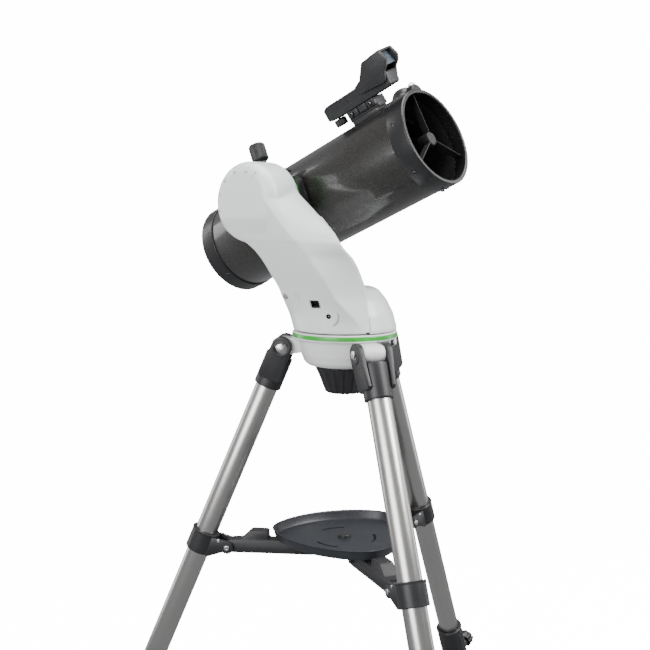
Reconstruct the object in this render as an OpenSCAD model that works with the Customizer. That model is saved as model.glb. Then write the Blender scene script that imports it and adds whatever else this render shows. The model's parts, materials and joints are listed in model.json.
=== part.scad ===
// Telescope on a motorised single-arm mount and a folding tripod.
// Z is up and the floor is Z = 0. X runs with the tube's heading, and the arm stands on the -Y side.

/* [Tripod] */
// Height of the leg hinges above the floor
hinge_h = 640; // [600:5:700]
// Distance of the leg hinges from the azimuth axis
hinge_r = 86; // [84:0.5:90]
// Lean of each leg from the vertical, in degrees
leg_lean = 22.9; // [21:0.1:25]
// Turn of the tripod against the tube's heading, in degrees
leg_turn = 3; // [0:1:6]
// Outer diameter of the upper leg tubes
leg_d = 32; // [31:0.5:33]
// Outer diameter of the inner leg tubes
inner_leg_d = 25.4; // [24:0.2:26]

/* [Mount] */
// Height of the altitude axis above the leg hinges
alt_rise = 198.6; // [196:0.2:202]
// Distance of the altitude axis behind the azimuth axis
alt_back = 74; // [72:0.5:76]
// Radius of the round base under the arm
base_r = 72; // [71:0.5:73]
// Radius of the arm's round head
head_r = 54; // [53:0.5:56]

/* [Telescope] */
// Height of the tube's aim above the horizon, in degrees
tube_aim = 22.8; // [20:0.1:25]
// Outer radius of the tube
tube_r = 66; // [65:0.5:67]
// Length of the tube ahead of the altitude axis
tube_front = 221; // [215:1:226]
// Length of the tube behind the altitude axis
tube_rear = 184; // [180:1:186]
// Turn of the focuser round the tube from its top, in degrees
focuser_turn = 40; // [35:1:45]
// Turn of the finder round the tube from its top, in degrees
finder_turn = -20; // [-24:1:-16]

/* [Hidden] */
$fn = 64;
eps = 0.01;

// Colours
WHITE = [0.92, 0.93, 0.92];
GREEN = [0.10, 0.65, 0.16];
BLACK = [0.08, 0.08, 0.09];
GREY = [0.30, 0.30, 0.31];
STEEL = [0.72, 0.72, 0.71];
BRASS = [0.75, 0.60, 0.30];

// Running clearance of a shaft in its bore
fit = 0.05;
// Gap between parts that move past each other
gap = 0.3;

// Directions of the legs in plan, and where the azimuth axis stands so that the feet are centred
leg_count = 3;
function leg_dir(i) = 93 + (leg_turn - 3) + 120 * (i - 1);
foot_r = hinge_r + hinge_h * tan(leg_lean);
foot_x = [for (i = [1:leg_count]) foot_r * cos(leg_dir(i))];
foot_y = [for (i = [1:leg_count]) foot_r * sin(leg_dir(i))];
axis_x = -(max(foot_x) + min(foot_x)) / 2;
axis_y = -(max(foot_y) + min(foot_y)) / 2;

// Heights above the leg hinges: lips and trim of the base, the turning gap, the cover's top
lip_z = 13;
trim_z = 15.5;
trim_top = 20.8;
base_top = 23;
arm_z = 24.3;
cover_top = 84;

// Leg stations, along the leg from its hinge
sleeve_start = 14;
bracket_end = 62;
tube_start = 18;
tube_end = 600;
clamp_start = 293;
clamp_end = 325;
lock_start = 551;
lock_end = 632;
foot_start = 652;
leg_len = hinge_h / cos(leg_lean);

// Spreader: clamp pivot and hub pivot, as distance from the axis and drop below the hinges
pivot_r = 168;
pivot_drop = 292.4;
hub_r = 45;
arm_len = pivot_r - hub_r;

// Widths of the hinge lugs and bracket ears
lug_half = 16;
ear_in = 16.4;
ear_out = 25.4;
bolt_r = 4;

// Faces of the arm's head and of the saddle, as Y positions
head_out = -128;
head_in = -72;
ring_out = -71.5;
ring_in = -65;
saddle_floor = -55.2;
bar_in = -40;
saddle_front = 30;
saddle_rear = -34;
bar_front = 42;
tube_y = 28;
alt_shaft_r = 16;

// ---------- frames ----------

module on_axis() translate([axis_x, axis_y, 0]) children();

module at_hinges() on_axis() translate([0, 0, hinge_h]) children();

// Plan frame of one leg: X outwards, origin on the azimuth axis at hinge height
module leg_plan(i) at_hinges() rotate([0, 0, leg_dir(i)]) children();

// Frame along one leg: -Z down the leg, X away from the tripod's middle, origin at the hinge
module leg_frame(i) leg_plan(i) translate([hinge_r, 0, 0]) rotate([0, -leg_lean, 0]) children();

module at_altitude() at_hinges() translate([-alt_back, 0, alt_rise]) children();

// Frame of the tube: X forwards, Z up across the tube, origin on the altitude axis at the tube's middle
module tube_frame() at_altitude() translate([0, tube_y, 0]) rotate([0, -tube_aim, 0]) children();

// Frame of the saddle: as the tube's, with the arm's Y positions
module saddle_frame() at_altitude() rotate([0, -tube_aim, 0]) children();

// Cylinder along Y from y0 to y1
module y_rod(r, y0, y1) translate([0, y1, 0]) rotate([90, 0, 0]) cylinder(r = r, h = y1 - y0);

// Cylinder along X from x0 to x1
module x_rod(r, x0, x1) translate([x0, 0, 0]) rotate([0, 90, 0]) cylinder(r = r, h = x1 - x0);

module pipe(r_out, r_in, h) difference() {
    cylinder(r = r_out, h = h);
    translate([0, 0, -1]) cylinder(r = r_in, h = h + 2);
}

// Knob with flutes round its rim
module fluted(r, h, count, flute_r) difference() {
    cylinder(r = r, h = h);
    for (k = [0:count - 1]) rotate([0, 0, k * 360 / count]) translate([r + flute_r * 0.45, 0, -1])
        cylinder(r = flute_r, h = h + 2, $fn = 24);
}

// ---------- tripod head ----------

module head_lug() translate([0, lug_half, 0]) rotate([90, 0, 0]) linear_extrude(2 * lug_half) difference() {
    union() {
        translate([hinge_r, 0]) circle(r = 12);
        polygon([[61, lip_z - 0.6], [70, lip_z - 0.6], [hinge_r, 11.7], [hinge_r, -11.7], [58.5, -8]]);
    }
    translate([hinge_r, 0]) circle(r = bolt_r + fit);
}

module tripod_head() color(WHITE) at_hinges() {
    rotate_extrude($fn = 96) polygon([
        [6.2, -26], [44, -26], [52, -24], [57, -19], [61, -9], [64, 6], [65, lip_z - eps],
        [60, lip_z - eps], [57, -8], [51, -19], [43, -21.5], [20, -21.5], [20, lip_z - eps],
        [6.2, lip_z - eps]
    ]);
    for (i = [1:leg_count]) rotate([0, 0, leg_dir(i)]) head_lug();
}

module hinge_bolts() color(STEEL) for (i = [1:leg_count]) leg_plan(i) translate([hinge_r, 0, 0]) {
    y_rod(bolt_r, -ear_out + 0.7, ear_out - 0.7);
    for (side = [-1, 1]) translate([0, side * (ear_out + 0.9), 0]) rotate([90, 0, 0])
        translate([0, 0, -1.7]) cylinder(r = 6.2, h = 3.4, $fn = 6);
}

module mount_base() color(WHITE) at_hinges() rotate_extrude($fn = 128) polygon([
    [5, lip_z], [base_r, lip_z], [base_r + 0.6, lip_z + 0.8], [base_r + 0.6, trim_z], [66, trim_z],
    [66, trim_top], [base_r + 0.6, trim_top], [base_r + 0.6, base_top - 0.6], [base_r, base_top],
    [14, base_top], [14, 62], [5, 62]
]);

module green_trim_ring() color(GREEN) at_hinges() translate([0, 0, trim_z + 0.02])
    rotate_extrude($fn = 128) polygon([
        [66.02, 0], [73, 0], [73.4, 0.6], [73.4, trim_top - trim_z - 0.7], [73, trim_top - trim_z - 0.04],
        [66.02, trim_top - trim_z - 0.04]
    ]);

module azimuth_worm_wheel() color(BRASS) at_hinges() translate([0, 0, 40]) difference() {
    union() {
        cylinder(r = 36, h = 7);
        cylinder(r = 20, h = 14);
    }
    translate([0, 0, -1]) cylinder(r = 14.02, h = 20);
}

module fastening_knob() color(BLACK) at_hinges() {
    difference() {
        rotate_extrude($fn = 96) polygon([
            [0, -64], [26, -64], [29, -62], [34, -46], [41, -29], [42, -27], [41, -26.4], [0, -26.4]
        ]);
        for (k = [0:17]) rotate([0, 0, k * 20]) translate([37, 0, -66]) rotate([0, 19, 0])
            cylinder(r = 2.6, h = 36, $fn = 20);
        translate([0, 0, -65]) cylinder(r = 20, h = 12);
    }
    translate([0, 0, -50]) cylinder(r = 4.95, h = 90);
}

// ---------- legs ----------

module leg_bracket(i) color(BLACK) leg_frame(i) difference() {
    union() {
        translate([0, 0, -bracket_end]) cylinder(r = 19.5, h = bracket_end - sleeve_start);
        for (side = [-1, 1]) translate([0, side > 0 ? ear_out : -ear_in, 0]) rotate([90, 0, 0])
            linear_extrude(ear_out - ear_in) {
                circle(r = 15);
                polygon([[-14.4, -4], [14.4, -4], [17, -46], [-17, -46]]);
            }
    }
    translate([0, 0, -bracket_end - 1]) cylinder(r = leg_d / 2 + 0.02, h = bracket_end - tube_start + 1);
    y_rod(bolt_r + fit, -40, 40);
    for (side = [-1, 1]) translate([0, side * (ear_out + 0.4), 0]) y_rod(10.5, -1.6, 1.6);
}

module outer_tube(i) color(STEEL) leg_frame(i) translate([0, 0, -tube_end])
    pipe(leg_d / 2, leg_d / 2 - 1.4, tube_end - tube_start);

// Clamp pivot in the leg's own frame
pivot_len = norm([pivot_r - hinge_r, pivot_drop]);
pivot_turn = atan2(pivot_r - hinge_r, pivot_drop) - leg_lean;
pivot_x = pivot_len * sin(pivot_turn);
pivot_z = -pivot_len * cos(pivot_turn);

module spreader_clamp(i) color(BLACK) leg_frame(i) {
    difference() {
        union() {
            translate([0, 0, -clamp_end]) cylinder(r = 20, h = clamp_end - clamp_start);
            for (side = [-1, 1]) translate([0, side > 0 ? 15 : -10.4, 0]) rotate([90, 0, 0])
                linear_extrude(4.6) {
                    translate([pivot_x, pivot_z]) circle(r = 9);
                    polygon([
                        [-12, -clamp_start - 3], [-12, -clamp_end], [pivot_x + 4, pivot_z - 8.2],
                        [pivot_x - 4, pivot_z + 7.8]
                    ]);
                }
        }
        translate([0, 0, -clamp_end - 1]) cylinder(r = leg_d / 2 + 0.02, h = 60);
        translate([pivot_x, 0, pivot_z]) y_rod(2.5, -30, 30);
        translate([-23.5, 0, pivot_z + 5]) y_rod(1.6, -30, 30);
    }
    translate([pivot_x, 0, pivot_z]) {
        y_rod(2.48, -15.5, 15.5);
        for (side = [-1, 1]) translate([0, side * 16.2, 0]) y_rod(4.2, -1.1, 1.1);
    }
    translate([-23.5, 0, pivot_z + 5]) {
        y_rod(1.58, -15.5, 15.5);
        for (side = [-1, 1]) translate([0, side * 15.8, 0]) y_rod(2.7, -0.7, 0.7);
    }
}

// Direction of the leg knobs round the leg, 0 being straight out
knob_turn = 0;

module leg_sleeve(i) color(BLACK) leg_frame(i) difference() {
    union() {
        translate([0, 0, -lock_end]) cylinder(r = 20.5, h = lock_end - lock_start);
        translate([0, 0, -lock_start - 3]) cylinder(r = 21.5, h = 3);
        translate([0, 0, -lock_end]) cylinder(r = 21.5, h = 4);
        rotate([0, 0, knob_turn]) translate([0, 0, -lock_end + 20]) x_rod(9, 12, 29);
    }
    translate([0, 0, -tube_end - eps]) cylinder(r = leg_d / 2 + 0.02, h = 60);
    translate([0, 0, -lock_end - 1]) cylinder(r = inner_leg_d / 2 + fit, h = 40);
    rotate([0, 0, knob_turn]) translate([0, 0, -lock_end + 20]) x_rod(3.05, 0, 40);
}

module inner_leg(i) color(STEEL) leg_frame(i) translate([0, 0, -leg_len + 22])
    pipe(inner_leg_d / 2, inner_leg_d / 2 - 1.2, leg_len - 22 - 130);

module rubber_foot(i) color(BLACK) difference() {
    leg_frame(i) difference() {
        union() {
            translate([0, 0, -leg_len - 12]) cylinder(r1 = 19, r2 = 17, h = 26);
            translate([0, 0, -leg_len + 13]) cylinder(r = 16, h = leg_len - 13 - foot_start);
        }
        translate([0, 0, -leg_len + 21.98]) cylinder(r = inner_leg_d / 2 + 0.02, h = 60);
    }
    on_axis() translate([0, 0, -100]) cube([2000, 2000, 200], center = true);
}

module leg_knob(i) color(BLACK) leg_frame(i) translate([0, 0, -lock_end + 20])
    rotate([0, 0, knob_turn]) rotate([0, 90, 0]) {
        translate([0, 0, inner_leg_d / 2 + gap]) cylinder(r = 3, h = 18);
        translate([0, 0, 30]) fluted(13, 15, 8, 3.2);
    }

// ---------- spreader and tray ----------

// Frame of one spreader arm: X from the clamp pivot towards the hub, Z up
module spread_frame(i) leg_plan(i) translate([pivot_r, 0, -pivot_drop]) rotate([0, 0, 180]) children();

slot_len = 13;

module spreader_arm(i) color(BLACK) spread_frame(i) difference() {
    translate([0, 10, 0]) rotate([90, 0, 0]) linear_extrude(20) {
        circle(r = 8);
        polygon([
            [0, -7.6], [arm_len, -7], [arm_len, 7], [100, 12.5], [59, 12.5], [59, 24], [56, 25], [34, 25],
            [20, 11.5], [6, 11], [0, 8]
        ]);
        translate([arm_len, 0]) circle(r = 7);
    }
    translate([9, -8, -20]) cube([60, 16, 30]);
    translate([34, -8, -10]) cube([23, 16, 32.5]);
    translate([60, -8, -20]) cube([90, 16, 30]);
    translate([94, -8, -20]) cube([60, 16, 60]);
    y_rod(2.48 + fit, -30, 30);
    hull() for (k = [0, slot_len]) translate([arm_len + 0.6 - k, 0, 0]) y_rod(4.4, -30, 30, $fn = 32);
}

module spreader_hub() color(BLACK) at_hinges() translate([0, 0, -pivot_drop]) {
    translate([0, 0, -9]) cylinder(r = 18, h = 24);
    translate([0, 0, 15 - eps]) cylinder(r = 8, h = 8);
    for (i = [1:leg_count]) rotate([0, 0, leg_dir(i)]) {
        difference() {
            translate([0, 7.4, 0]) rotate([90, 0, 0]) linear_extrude(14.8) {
                translate([hub_r, 0]) circle(r = 6);
                polygon([[12, -6], [hub_r, -6], [hub_r, 6], [12, 6]]);
            }
            translate([hub_r, 0, 0]) y_rod(2.5, -20, 20);
        }
        translate([hub_r, 0, 0]) {
            y_rod(2.48, -11.6, 11.6);
            for (side = [-1, 1]) translate([0, side * 11.9, 0]) y_rod(4.5, -1, 1);
        }
    }
}

// Outline of the tray: a rounded triangle with its tips towards the legs, set in by an amount
tray_tip_r = 105;
tray_side_r = 140.7;
tray_side_at = 51.7;
module tray_outline(inset) intersection() {
    circle(r = tray_tip_r - inset, $fn = 128);
    tray_side(1) circle(r = tray_side_r - inset, $fn = 128);
    tray_side(2) circle(r = tray_side_r - inset, $fn = 128);
    tray_side(3) circle(r = tray_side_r - inset, $fn = 128);
}
module tray_side(i) rotate(leg_dir(i)) translate([tray_side_at, 0]) children();

tray_floor = 16;
module tray() color(BLACK) at_hinges() translate([0, 0, -pivot_drop + tray_floor]) difference() {
    linear_extrude(15) tray_outline(0);
    translate([0, 0, 2.5]) linear_extrude(20) tray_outline(3);
    translate([0, 0, -1]) cylinder(r = 8 + fit, h = 10);
    for (i = [1:leg_count]) rotate([0, 0, leg_dir(i) + 60]) translate([28, 0, -1]) {
        difference() {
            cylinder(r = 17, h = 10);
            translate([0, 0, -1]) cylinder(r = 14, h = 12);
            translate([-40, -20, -1]) cube([40, 40, 12]);
        }
    }
}

// ---------- arm ----------

// Sections of the arm by height. Corners in plan run from the rear-left, over the broad face, to the rear-right
arm_rows = [
    [arm_z, [-67.1, -26], [-52, -49.8], [-27, -66.7], [4, -71.9], [38, -61.1], [64.5, -32], [67.1, -26]],
    [48, [-61, -26], [-52, -60], [-27, -70.5], [0, -75], [24, -70], [45, -57], [64, -26]],
    [74, [-55, -26], [-50, -78], [-25, -79.3], [-2, -80], [13, -80], [26, -79], [59, -26]],
    [84, [-55, -26], [-51, -83], [-28, -84], [-6, -84.4], [11, -84], [25, -83], [57, -26]],
    [101, [-58, -36], [-56, -92], [-32, -92.4], [-10, -92.6], [8, -92.4], [22, -92], [55, -36]],
    [127, [-68, -60], [-66, -104], [-42, -104.4], [-18, -104.6], [2, -104.4], [16, -104], [57, -60]],
    [144, [-84, -72], [-82, -112], [-56, -112.4], [-30, -112.6], [-8, -112.4], [10, -112], [54, -72]],
    [160, [-117, -72], [-116, -119], [-80, -119.4], [-46, -119.6], [-20, -119.4], [0, -119], [41, -72]],
    [180, [-124, -72], [-124, -125], [-90, -125.4], [-60, -125.6], [-34, -125.4], [-12, -125], [20, -72]],
    [204, [-127, -72], [-127, -127.6], [-100, -127.7], [-70, -127.8], [-44, -127.7], [-26, -127.6], [-10, -72]]
];
arm_corners = 7;

function arm_mid(row) = [(row[1][0] + row[7][0]) / 2, (row[1][1] + row[4][1]) / 2];
function toward(p, q, d) = p + (q - p) * d / norm(q - p);

// Solid of the arm through its sections, with the corners drawn in by an amount
module arm_loft(inset) {
    m = arm_corners;
    n = len(arm_rows);
    rows = [for (row = arm_rows) [row[0], [for (k = [1:m]) toward(row[k], arm_mid(row), inset * 1.3)]]];
    points = [for (row = rows) for (p = row[1]) [p[0], p[1], row[0]]];
    sides = [for (j = [0:n - 2]) for (k = [0:m - 1]) each [
        [m * j + k, m * (j + 1) + k, m * j + (k + 1) % m],
        [m * j + (k + 1) % m, m * (j + 1) + k, m * (j + 1) + (k + 1) % m]
    ]];
    floor_face = [for (k = [0:m - 1]) k];
    top_face = [for (k = [m - 1:-1:0]) m * (n - 1) + k];
    polyhedron(points, concat(sides, [floor_face], [top_face]));
}

module arm_head(inset) translate([-alt_back, 0, alt_rise]) y_rod(head_r - inset, head_out + inset, head_in);

wall = 3;

// Height at which the lid on the arm's tube side begins
lid_z = 144;

// Places of the sockets and the button on the arm's broad face
hand_socket = [10, -76.5, 64.5];
power_jack = [26.5, -67, 48.5];
button_at = [-40, -80.5, 72.5];

module arm_outer_shell() color(WHITE) at_hinges() difference() {
    union() {
        arm_loft(0);
        arm_head(0);
    }
    arm_loft(wall);
    arm_head(wall);
    translate([0, 0, arm_z - 1]) cylinder(r = base_r - wall - 0.8, h = 4.4);
    translate([-50, -40, arm_z - 1]) cube([103, 20, 56]);
    translate([-alt_back, 0, alt_rise]) y_rod(head_r - wall, -80, -60);
    translate([-200, head_in - wall, lid_z]) cube([400, 60, 130]);
    translate(hand_socket) cube([16.6, 40, 14.6], center = true);
    translate(power_jack) cube([11.6, 40, 11.6], center = true);
    translate(button_at) y_rod(4.3, -20, 30);
    translate([-alt_back + 4, head_out, alt_rise + 44]) y_rod(2, -4, 8);
}

// Dome behind the arm, over the azimuth drive
module cover_dome(inset) rotate_extrude($fn = 96) polygon([
    [0, arm_z - (inset > 0 ? 1 : 0)], [base_r - inset, arm_z - (inset > 0 ? 1 : 0)], [base_r - inset, 28],
    [63 - inset, 58 - inset * 0.4], [49 - inset * 0.7, 82 - inset], [46 - inset, cover_top - inset],
    [0, cover_top - inset]
]);

module arm_rear_cover() color(WHITE) at_hinges() {
    difference() {
        intersection() {
            cover_dome(0);
            translate([-100, -25.7, 0]) cube([200, 200, 120]);
        }
        cover_dome(wall);
    }
    difference() {
        intersection() {
            union() {
                translate([-alt_back, 0, alt_rise]) y_rod(head_r, head_in - 2.7, head_in);
                translate([0, head_in, 0]) rotate([90, 0, 0]) linear_extrude(2.7) polygon([
                    [-84, lid_z], [-117, 160], [-124, 180], [-127, 204], [-10, 204], [20, 180], [41, 160],
                    [54, lid_z]
                ]);
            }
            translate([-200, -200, lid_z + 0.2]) cube([400, 400, 200]);
        }
        translate([-alt_back, 0, alt_rise]) y_rod(alt_shaft_r + fit, -100, 0);
    }
}

module turntable() color(GREY) at_hinges() translate([0, 0, arm_z]) difference() {
    union() {
        cylinder(r = base_r - wall - 1, h = 3);
        cylinder(r = 24, h = 12);
    }
    translate([0, 0, -1]) cylinder(r = 14 + fit, h = 40);
}

module azimuth_motor() color(GREY) at_hinges() {
    translate([26, 35, 27.4]) cube([10, 11, 27]);
    translate([-37, 37, 27.4]) cube([9, 10, 24]);
}

module azimuth_worm() color(STEEL) at_hinges() translate([0, 43, 43.5]) {
    x_rod(6.3, -20, 20);
    x_rod(3, -27.5, 25.5);
}

// Altitude worm: its axis runs beside the wheel, along the arm
drive_y = -97;
module worm_frame() at_altitude() translate([0, drive_y, 0]) rotate([0, 58, 0]) translate([0, 0, 38.5]) children();

module altitude_worm() color(STEEL) worm_frame() {
    x_rod(6, -16, 16);
    x_rod(3, -22, 22);
}

module altitude_motor() color(GREY) worm_frame() {
    translate([0, 0, -3]) x_rod(9, 26, 64);
    translate([24.2, -8, -9]) cube([2, 16, 14]);
}

module altitude_shaft() color(BRASS) at_altitude() {
    y_rod(alt_shaft_r, -112, ring_in - 0.05);
    y_rod(31.5, drive_y - 5, drive_y + 5);
}

module control_board() color(GREEN) at_hinges() {
    translate([-32, -57, 38]) cube([60, 1.6, 52]);
    translate([-24, -55.4, 58]) cube([16, 3, 16]);
    translate([2, -55.4, 70]) cube([10, 2, 10]);
}

module arm_sockets() color(BLACK) at_hinges() {
    translate(hand_socket) difference() {
        translate([-8, -1.5, -7]) cube([16, 14, 14]);
        translate([-6, -2.5, -4.5]) cube([12, 12, 9]);
    }
    translate(power_jack) {
        difference() {
            translate([-5.5, -2, -5.5]) cube([11, 11, 11]);
            y_rod(3.2, -10, 7);
        }
        y_rod(1.05, 1, 7.5);
    }
}

module power_button() color(GREY) at_hinges() translate(button_at) {
    y_rod(4, -2.2, 12);
    y_rod(6, 12, 14);
}

// ---------- saddle ----------

module altitude_ring() color(GREEN) at_altitude() difference() {
    union() {
        y_rod(50, ring_out, ring_in);
    }
    y_rod(alt_shaft_r + 0.02, -90, -50);
}

// Half widths of the dovetail's outer and inner faces
bar_half_out = 22;
bar_half_in = 18;

// Place of the clamp knob's stem
stem_x = -10.5;
stem_y = -51;

module saddle() color(GREY) saddle_frame() difference() {
    union() {
        translate([saddle_rear, ring_in, -36]) cube([saddle_front - saddle_rear, saddle_floor - ring_in, 75]);
        translate([saddle_rear, saddle_floor - 0.1, 34])
            cube([saddle_front - saddle_rear, 13.1, 5]);
        translate([saddle_front, 0, 0]) rotate([0, -90, 0]) linear_extrude(saddle_front - saddle_rear) polygon([
            [-36, saddle_floor - eps], [-bar_half_out - 0.3, saddle_floor - eps], [-bar_half_in - 0.8, -42],
            [-36, -42]
        ]);
    }
    translate([stem_x, stem_y, 30]) cylinder(r = 3 + fit, h = 20);
}

module saddle_jaw() color(GREY) saddle_frame() difference() {
    translate([saddle_front - 2, 0, 0]) rotate([0, -90, 0]) linear_extrude(saddle_front - saddle_rear - 4)
        polygon([
        [bar_half_out + 0.3, saddle_floor + 0.1], [bar_half_in + 0.9, -42], [31, -42], [31, saddle_floor + 0.1]
    ]);
    translate([stem_x, stem_y, 27.6]) cylinder(r = 3 + gap, h = 10);
}

module saddle_knob() color(BLACK) saddle_frame() translate([stem_x, stem_y, 0]) {
    translate([0, 0, 31]) cylinder(r = 3, h = 28);
    translate([0, 0, 44]) cylinder(r = 8.5, h = 20);
    translate([0, 0, 64 - eps]) cylinder(r1 = 9, r2 = 12, h = 3);
    translate([0, 0, 67 - 2 * eps]) fluted(12, 22, 24, 0.9);
    translate([0, 0, 89 - 3 * eps]) cylinder(r1 = 11.4, r2 = 9, h = 3);
}

module dovetail_bar() color(BLACK) tube_frame() {
    translate([bar_front, 0, 0]) rotate([0, -90, 0]) linear_extrude(bar_front + 75) polygon([
        [-bar_half_out, saddle_floor + 0.2 - tube_y], [-bar_half_in, bar_in - tube_y - 0.4],
        [bar_half_in, bar_in - tube_y - 0.4], [bar_half_out, saddle_floor + 0.2 - tube_y]
    ]);
    for (x = [-50, bar_front - 17]) difference() {
        translate([x - 9, bar_in - tube_y - 0.5, -14]) cube([18, 6, 28]);
        x_rod(tube_r + 0.02, -90, 90);
    }
}

// ---------- telescope ----------

// Length of the end rings along the tube, and how far the tube stops short of the front rim
ring_len = 27;
ring_seat = 21;

module optical_tube() color(BLACK) tube_frame() difference() {
    x_rod(tube_r, -tube_rear + 14, tube_front - ring_seat, $fn = 128);
    x_rod(tube_r - 1, -200, 260, $fn = 128);
    rotate([-focuser_turn, 0, 0]) translate([tube_front - 70, 0, 40]) cylinder(r = 27, h = 60);
}

module front_ring() color(BLACK) tube_frame() rotate([0, 90, 0]) rotate_extrude($fn = 128) polygon([
    [tube_r + 0.02, tube_front - ring_len], [tube_r + 1.6, tube_front - ring_len],
    [tube_r + 1.6, tube_front - 1.2], [tube_r + 0.4, tube_front], [tube_r - 3.4, tube_front],
    [tube_r - 4.2, tube_front - 1], [tube_r - 4.2, tube_front - 4], [tube_r - 1.2, tube_front - 6],
    [tube_r - 1.2, tube_front - ring_seat + 0.3], [tube_r + 0.02, tube_front - ring_seat + 0.3]
]);

module rear_cell() color(BLACK) tube_frame() {
    rotate([0, 90, 0]) rotate_extrude($fn = 128) polygon([
        [tube_r + 0.02, -tube_rear + ring_len], [tube_r + 1.6, -tube_rear + ring_len],
        [tube_r + 1.6, -tube_rear + 3],
        [tube_r - 1, -tube_rear], [tube_r - 8, -tube_rear], [tube_r - 8, -tube_rear + 3],
        [tube_r - 1.4, -tube_rear + 5], [tube_r - 1.4, -tube_rear + 13.5], [tube_r + 0.02, -tube_rear + 13.5]
    ]);
    difference() {
        x_rod(58.5, -tube_rear + 2, -tube_rear + 8);
        for (k = [0:2]) rotate([k * 120 + 60, 0, 0]) translate([0, 0, 32]) x_rod(14, -200, -170);
    }
    for (k = [0:2]) rotate([k * 120, 0, 0]) {
        translate([0, 0, 40]) x_rod(5, -tube_rear + 7.9, -tube_rear + 18);
        translate([0, 0, 40]) x_rod(4.5, -tube_rear - 1, -tube_rear + 3);
        translate([-tube_rear + 17.9, -4, 56.5]) cube([12, 8, 3]);
        translate([-tube_rear + 3, -4, 55]) cube([15, 8, 4.5]);
    }
}

mirror_r = 56.4;
mirror_dip = 1.8;
module primary_mirror() color(STEEL) tube_frame() rotate([0, 90, 0]) rotate_extrude($fn = 128) polygon(concat(
    [[0, -tube_rear + 18.1], [mirror_r, -tube_rear + 18.1]],
    [for (k = [8:-1:0]) [mirror_r * k / 8, -tube_rear + 29.2 + mirror_dip * pow(k / 8, 2)]]
));

// Station of the diagonal mirror on the tube's axis
diagonal_x = tube_front - 70;

module spider() color(BLACK) tube_frame() {
    x_rod(9.5, tube_front - 26, tube_front - 7);
    x_rod(3, diagonal_x + 12, tube_front - 25.9);
    for (k = [0:2]) rotate([k * 120 + 9, 0, 0]) translate([tube_front - 17, -0.6, 9])
        cube([10, 1.2, tube_r - 10.3]);
    intersection() {
        x_rod(13, diagonal_x - 14, diagonal_x + 13);
        rotate([-focuser_turn, 0, 0]) translate([diagonal_x + 2.4, 0, 0]) rotate([0, 45, 0])
            translate([0, -40, -60]) cube([60, 80, 120]);
    }
}

module secondary_mirror() color(STEEL) tube_frame() rotate([-focuser_turn, 0, 0]) intersection() {
    x_rod(13.5, diagonal_x - 40, diagonal_x + 40);
    translate([diagonal_x, 0, 0]) rotate([0, 45, 0]) translate([-1.2, -40, -60]) cube([2.7, 80, 120]);
}

// Frame of the focuser: Z out along the drawtube, origin on the tube's axis
module focuser_frame() tube_frame() translate([diagonal_x, 0, 0]) rotate([-focuser_turn, 0, 0]) children();

// Place of the focus knobs' shaft beside the drawtube
pinion_y = -24.2;

module focuser_body() color(BLACK) focuser_frame() difference() {
    union() {
        difference() {
            translate([-31.5, -30, 50]) cube([63, 60, 20]);
            x_rod(tube_r + 0.02, -80, 80, $fn = 128);
        }
        translate([0, 0, 69]) cylinder(r = 25, h = 27);
        translate([-13, pinion_y - 7, 75]) cube([26, 16, 14]);
    }
    translate([0, 0, 30]) cylinder(r = 20 + fit, h = 80);
    translate([0, pinion_y, 82]) x_rod(3 + fit, -40, 40);
}

module drawtube() color(GREY) focuser_frame() difference() {
    union() {
        translate([0, 0, 58]) cylinder(r = 20, h = 46);
        translate([0, 0, 103]) cylinder(r = 23, h = 20);
        translate([0, 0, 112]) rotate([90, 0, 50]) cylinder(r = 2.2, h = 30);
        translate([0, 0, 112]) rotate([90, 0, 50]) translate([0, 0, 29]) cylinder(r = 5, h = 8);
    }
    translate([0, 0, 50]) cylinder(r = 15.95, h = 90);
}

module focus_knobs() color(BLACK) focuser_frame() translate([0, pinion_y, 82]) {
    x_rod(3, -38, 38);
    for (side = [-1, 1]) scale([side, 1, 1]) translate([33, 0, 0]) rotate([0, 90, 0]) fluted(13, 13, 20, 1.6);
}

// ---------- finder ----------

// Frame of the finder: X forwards, Z out from the tube's wall
module finder_frame() tube_frame() rotate([-finder_turn, 0, 0])
    translate([tube_front - 97, 0, tube_r]) children();

module finder_mount() color(BLACK) finder_frame() {
    difference() {
        translate([4, -15, -6]) cube([43, 30, 11]);
        translate([0, 0, -tube_r]) x_rod(tube_r + 0.02, -80, 120, $fn = 128);
    }
    translate([0, -11, 4.9]) cube([52, 22, 6]);
    translate([2, -15, 9]) cube([48, 30, 10]);
    for (x = [10, 42]) translate([x, 0, 14]) y_rod(3, -18.5, 18.5);
}

module finder_body() color(BLACK) finder_frame() difference() {
    union() {
        translate([0, 14, 0]) rotate([90, 0, 0]) linear_extrude(28) polygon([
            [-29, 21], [-22, 19.3], [80, 19.3], [83, 22], [85, 39], [60, 41], [46, 41], [-24, 41], [-29, 38]
        ]);
        translate([0, 19, 0]) rotate([90, 0, 0]) linear_extrude(38) polygon([
            [33, 40.9], [46.8, 45.8], [62, 64], [92, 66], [97, 51.3], [92.3, 43], [85, 39.5], [60, 40.9]
        ]);
    }
    translate([20, -16, 44]) cube([100, 32, 18.5]);
    translate([-20, 0, 15]) cylinder(r = 2 + fit, h = 11);
}

module finder_dial() color(BLACK) finder_frame() translate([-20, 0, 8.5]) {
    fluted(9, 10.4, 16, 0.8);
    cylinder(r = 2, h = 16.5);
}

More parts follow.
